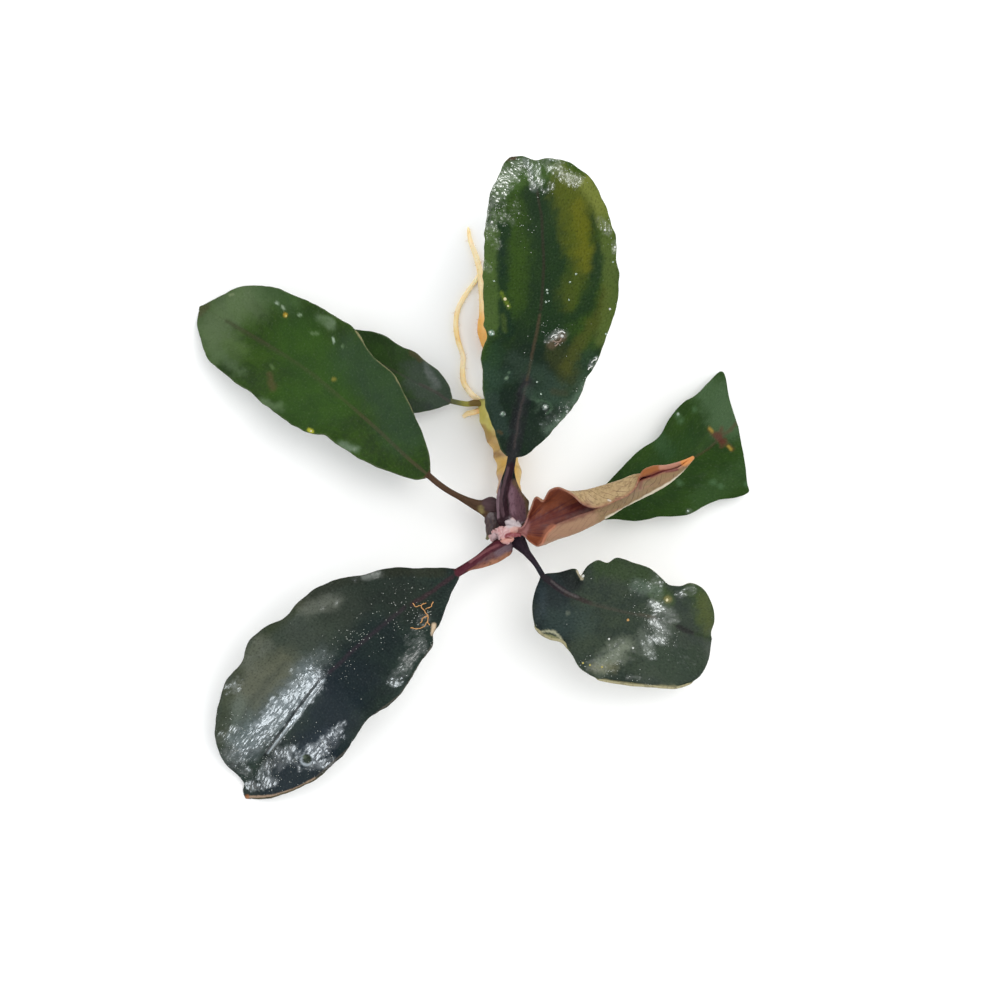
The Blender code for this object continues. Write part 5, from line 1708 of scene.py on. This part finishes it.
def aim(leaf, x, y):
    """Where the eye's line through a traced position meets a leaf's skin, and the normal there."""
    mesh = bpy.data.objects[leaf + "_skin"].data
    if leaf not in aim.trees:
        corners = [tuple(polygon.vertices) for polygon in mesh.polygons]
        aim.trees[leaf] = BVHTree.FromPolygons([v.co for v in mesh.vertices], corners)
    eye = Vector(place(*EYE_TRACED, EYE_HEIGHT / MM))
    target = Vector(place(x, y, 0))
    point, normal, _, _ = aim.trees[leaf].ray_cast(eye, (target - eye).normalized())
    if point is None:
        raise RuntimeError(f"nothing of {leaf} lies at {x}, {y}")
    return point, normal


aim.trees = {}


class BUCEPHALANDRA_OT_marks(bpy.types.Operator):
    """Adds the specks, the grit and the tangled fibres that lie on the leaves, some of them painted glints"""

    bl_idname = "bucephalandra.marks"
    bl_label = "Specks, grit and fibres"

    def execute(self, context):
        self.specks()
        self.grit(context.scene.bucephalandra_sizes, context.scene.bucephalandra_colours.grit)
        self.fibres()
        return {"FINISHED"}

    @staticmethod
    def specks():
        """Single beads on the leaves, one piece for each colour."""
        tree = bead_group()
        for number, colour in enumerate(sorted({speck[1] for speck in SPECKS})):
            chosen = [(leaf, *bead) for leaf, painted, beads in SPECKS if painted == colour for bead in beads]
            name = f"specks_{number}"
            mesh = bpy.data.meshes.new(name)
            points, normals = zip(*(aim(leaf, x, y) for leaf, x, y, _ in chosen))
            mesh.from_pydata([tuple(point) for point in points], [], [])
            add_attribute(mesh, "width", [width * MM for *_, width in chosen])
            add_attribute(mesh, "up", normals)
            skin = mottled(f"speck_{number}", colour, [0.7 * c for c in colour], 0.2,
                           0.12 if colour == GLINT else 0.55)
            grow_piece(name, mesh, tree, {"Fineness": 2, "Flatness": 0.45}, skin, chosen[0][0])

    @staticmethod
    def grit(sizes, colour):
        """Fine pale grit scattered over the upper side of three leaves, thickest where they glint: there it
        is painted glints.
        """
        skin = mottled("grit", colour, srgb(160, 162, 144), 0.3, 0.25)
        tree = scatter_group()
        for seed, (leaf, zones) in enumerate(GRIT_AND_GLINT_ZONES.items(), 51):
            base = bpy.data.objects[leaf + "_skin"].data.copy()
            station = mesh_vectors(base, "station")
            traced = traced_places(mesh_vectors(base, "position"))
            cover = np.max([stroke_cover(traced, *zone) for zone in zones], axis=0)
            patchy = smooth_step((rough(traced, 14, seed) + 0.2) / 0.5)
            on_top = (station[:, 2] < 0.5) & (station[:, 1] > 0.03)
            add_attribute(base, "show", np.maximum(cover, 0.012) * (0.25 + patchy) * on_top)
            grow_piece(leaf + "_grit_and_glints", base, tree, {
                "Density": sizes.grit_and_glint_density, "Smallest": 0.03 * MM, "Largest": sizes.largest_grit_and_glint,
                "Flatness": 0.6, "Seed": seed,
            }, skin, leaf)

    @staticmethod
    def fibres():
        """Tangled fibres on the leaves."""
        tube = tube_group()
        for number, (leaf, radius, colour, lines) in enumerate(FIBRES):
            skin = mottled(f"fibre_{number}", colour, [0.08 + 0.92 * c for c in colour], 0.5, 0.5)
            for part, line in enumerate(lines):
                traced = curve(line, np.linspace(0, 1, 40))
                traced = traced + 1.2 * joined(rough(traced, 3, 61.0), rough(traced, 3, 62.0))
                hits = [aim(leaf, x, y) for x, y in traced]
                base = line_mesh([point + normal * radius * MM for point, normal in hits],
                                 radius * MM * (1 + 0.5 * rough(traced, 2, 63.0)))
                grow_piece(f"fibre_{number}_{part}", base, tube, {
                    "Sides": 6, "Bumps": 0.3 * radius * MM, "Bump Size": 0.3 * MM,
                }, skin, leaf)


class BUCEPHALANDRA_PT_plant(bpy.types.Panel):
    """Shows the plant's settings and building steps in the sidebar"""

    bl_label = "Bucephalandra"
    bl_space_type = "VIEW_3D"
    bl_region_type = "UI"
    bl_category = "Bucephalandra"

    def draw(self, context):
        scene = context.scene
        for group in (scene.bucephalandra_sizes, scene.bucephalandra_colours, scene.bucephalandra_stage):
            box = self.layout.box()
            for key in group.bl_rna.properties.keys():
                if key not in ("rna_type", "name"):
                    box.prop(group, key)
        for operator in STEPS:
            self.layout.operator(operator.bl_idname)


STEPS = (
    BUCEPHALANDRA_OT_stage, BUCEPHALANDRA_OT_leaves, BUCEPHALANDRA_OT_young_leaf,
    BUCEPHALANDRA_OT_rhizome, BUCEPHALANDRA_OT_roots, BUCEPHALANDRA_OT_scales,
    BUCEPHALANDRA_OT_marks,
)
GROUPS = {
    "bucephalandra_sizes": PlantSizes, "bucephalandra_colours": PlantColours,
    "bucephalandra_stage": StageSettings,
}


def register():
    for name, group in GROUPS.items():
        bpy.utils.register_class(group)
        setattr(bpy.types.Scene, name, PointerProperty(type=group))
    for made in (*STEPS, BUCEPHALANDRA_PT_plant):
        bpy.utils.register_class(made)


def unregister():
    for made in (BUCEPHALANDRA_PT_plant, *reversed(STEPS)):
        bpy.utils.unregister_class(made)
    for name, group in reversed(GROUPS.items()):
        delattr(bpy.types.Scene, name)
        bpy.utils.unregister_class(group)


def main():
    register()
    for step in STEPS:
        family, name = step.bl_idname.split(".")
        getattr(getattr(bpy.ops, family), name)()


if __name__ == "__main__":
    main()
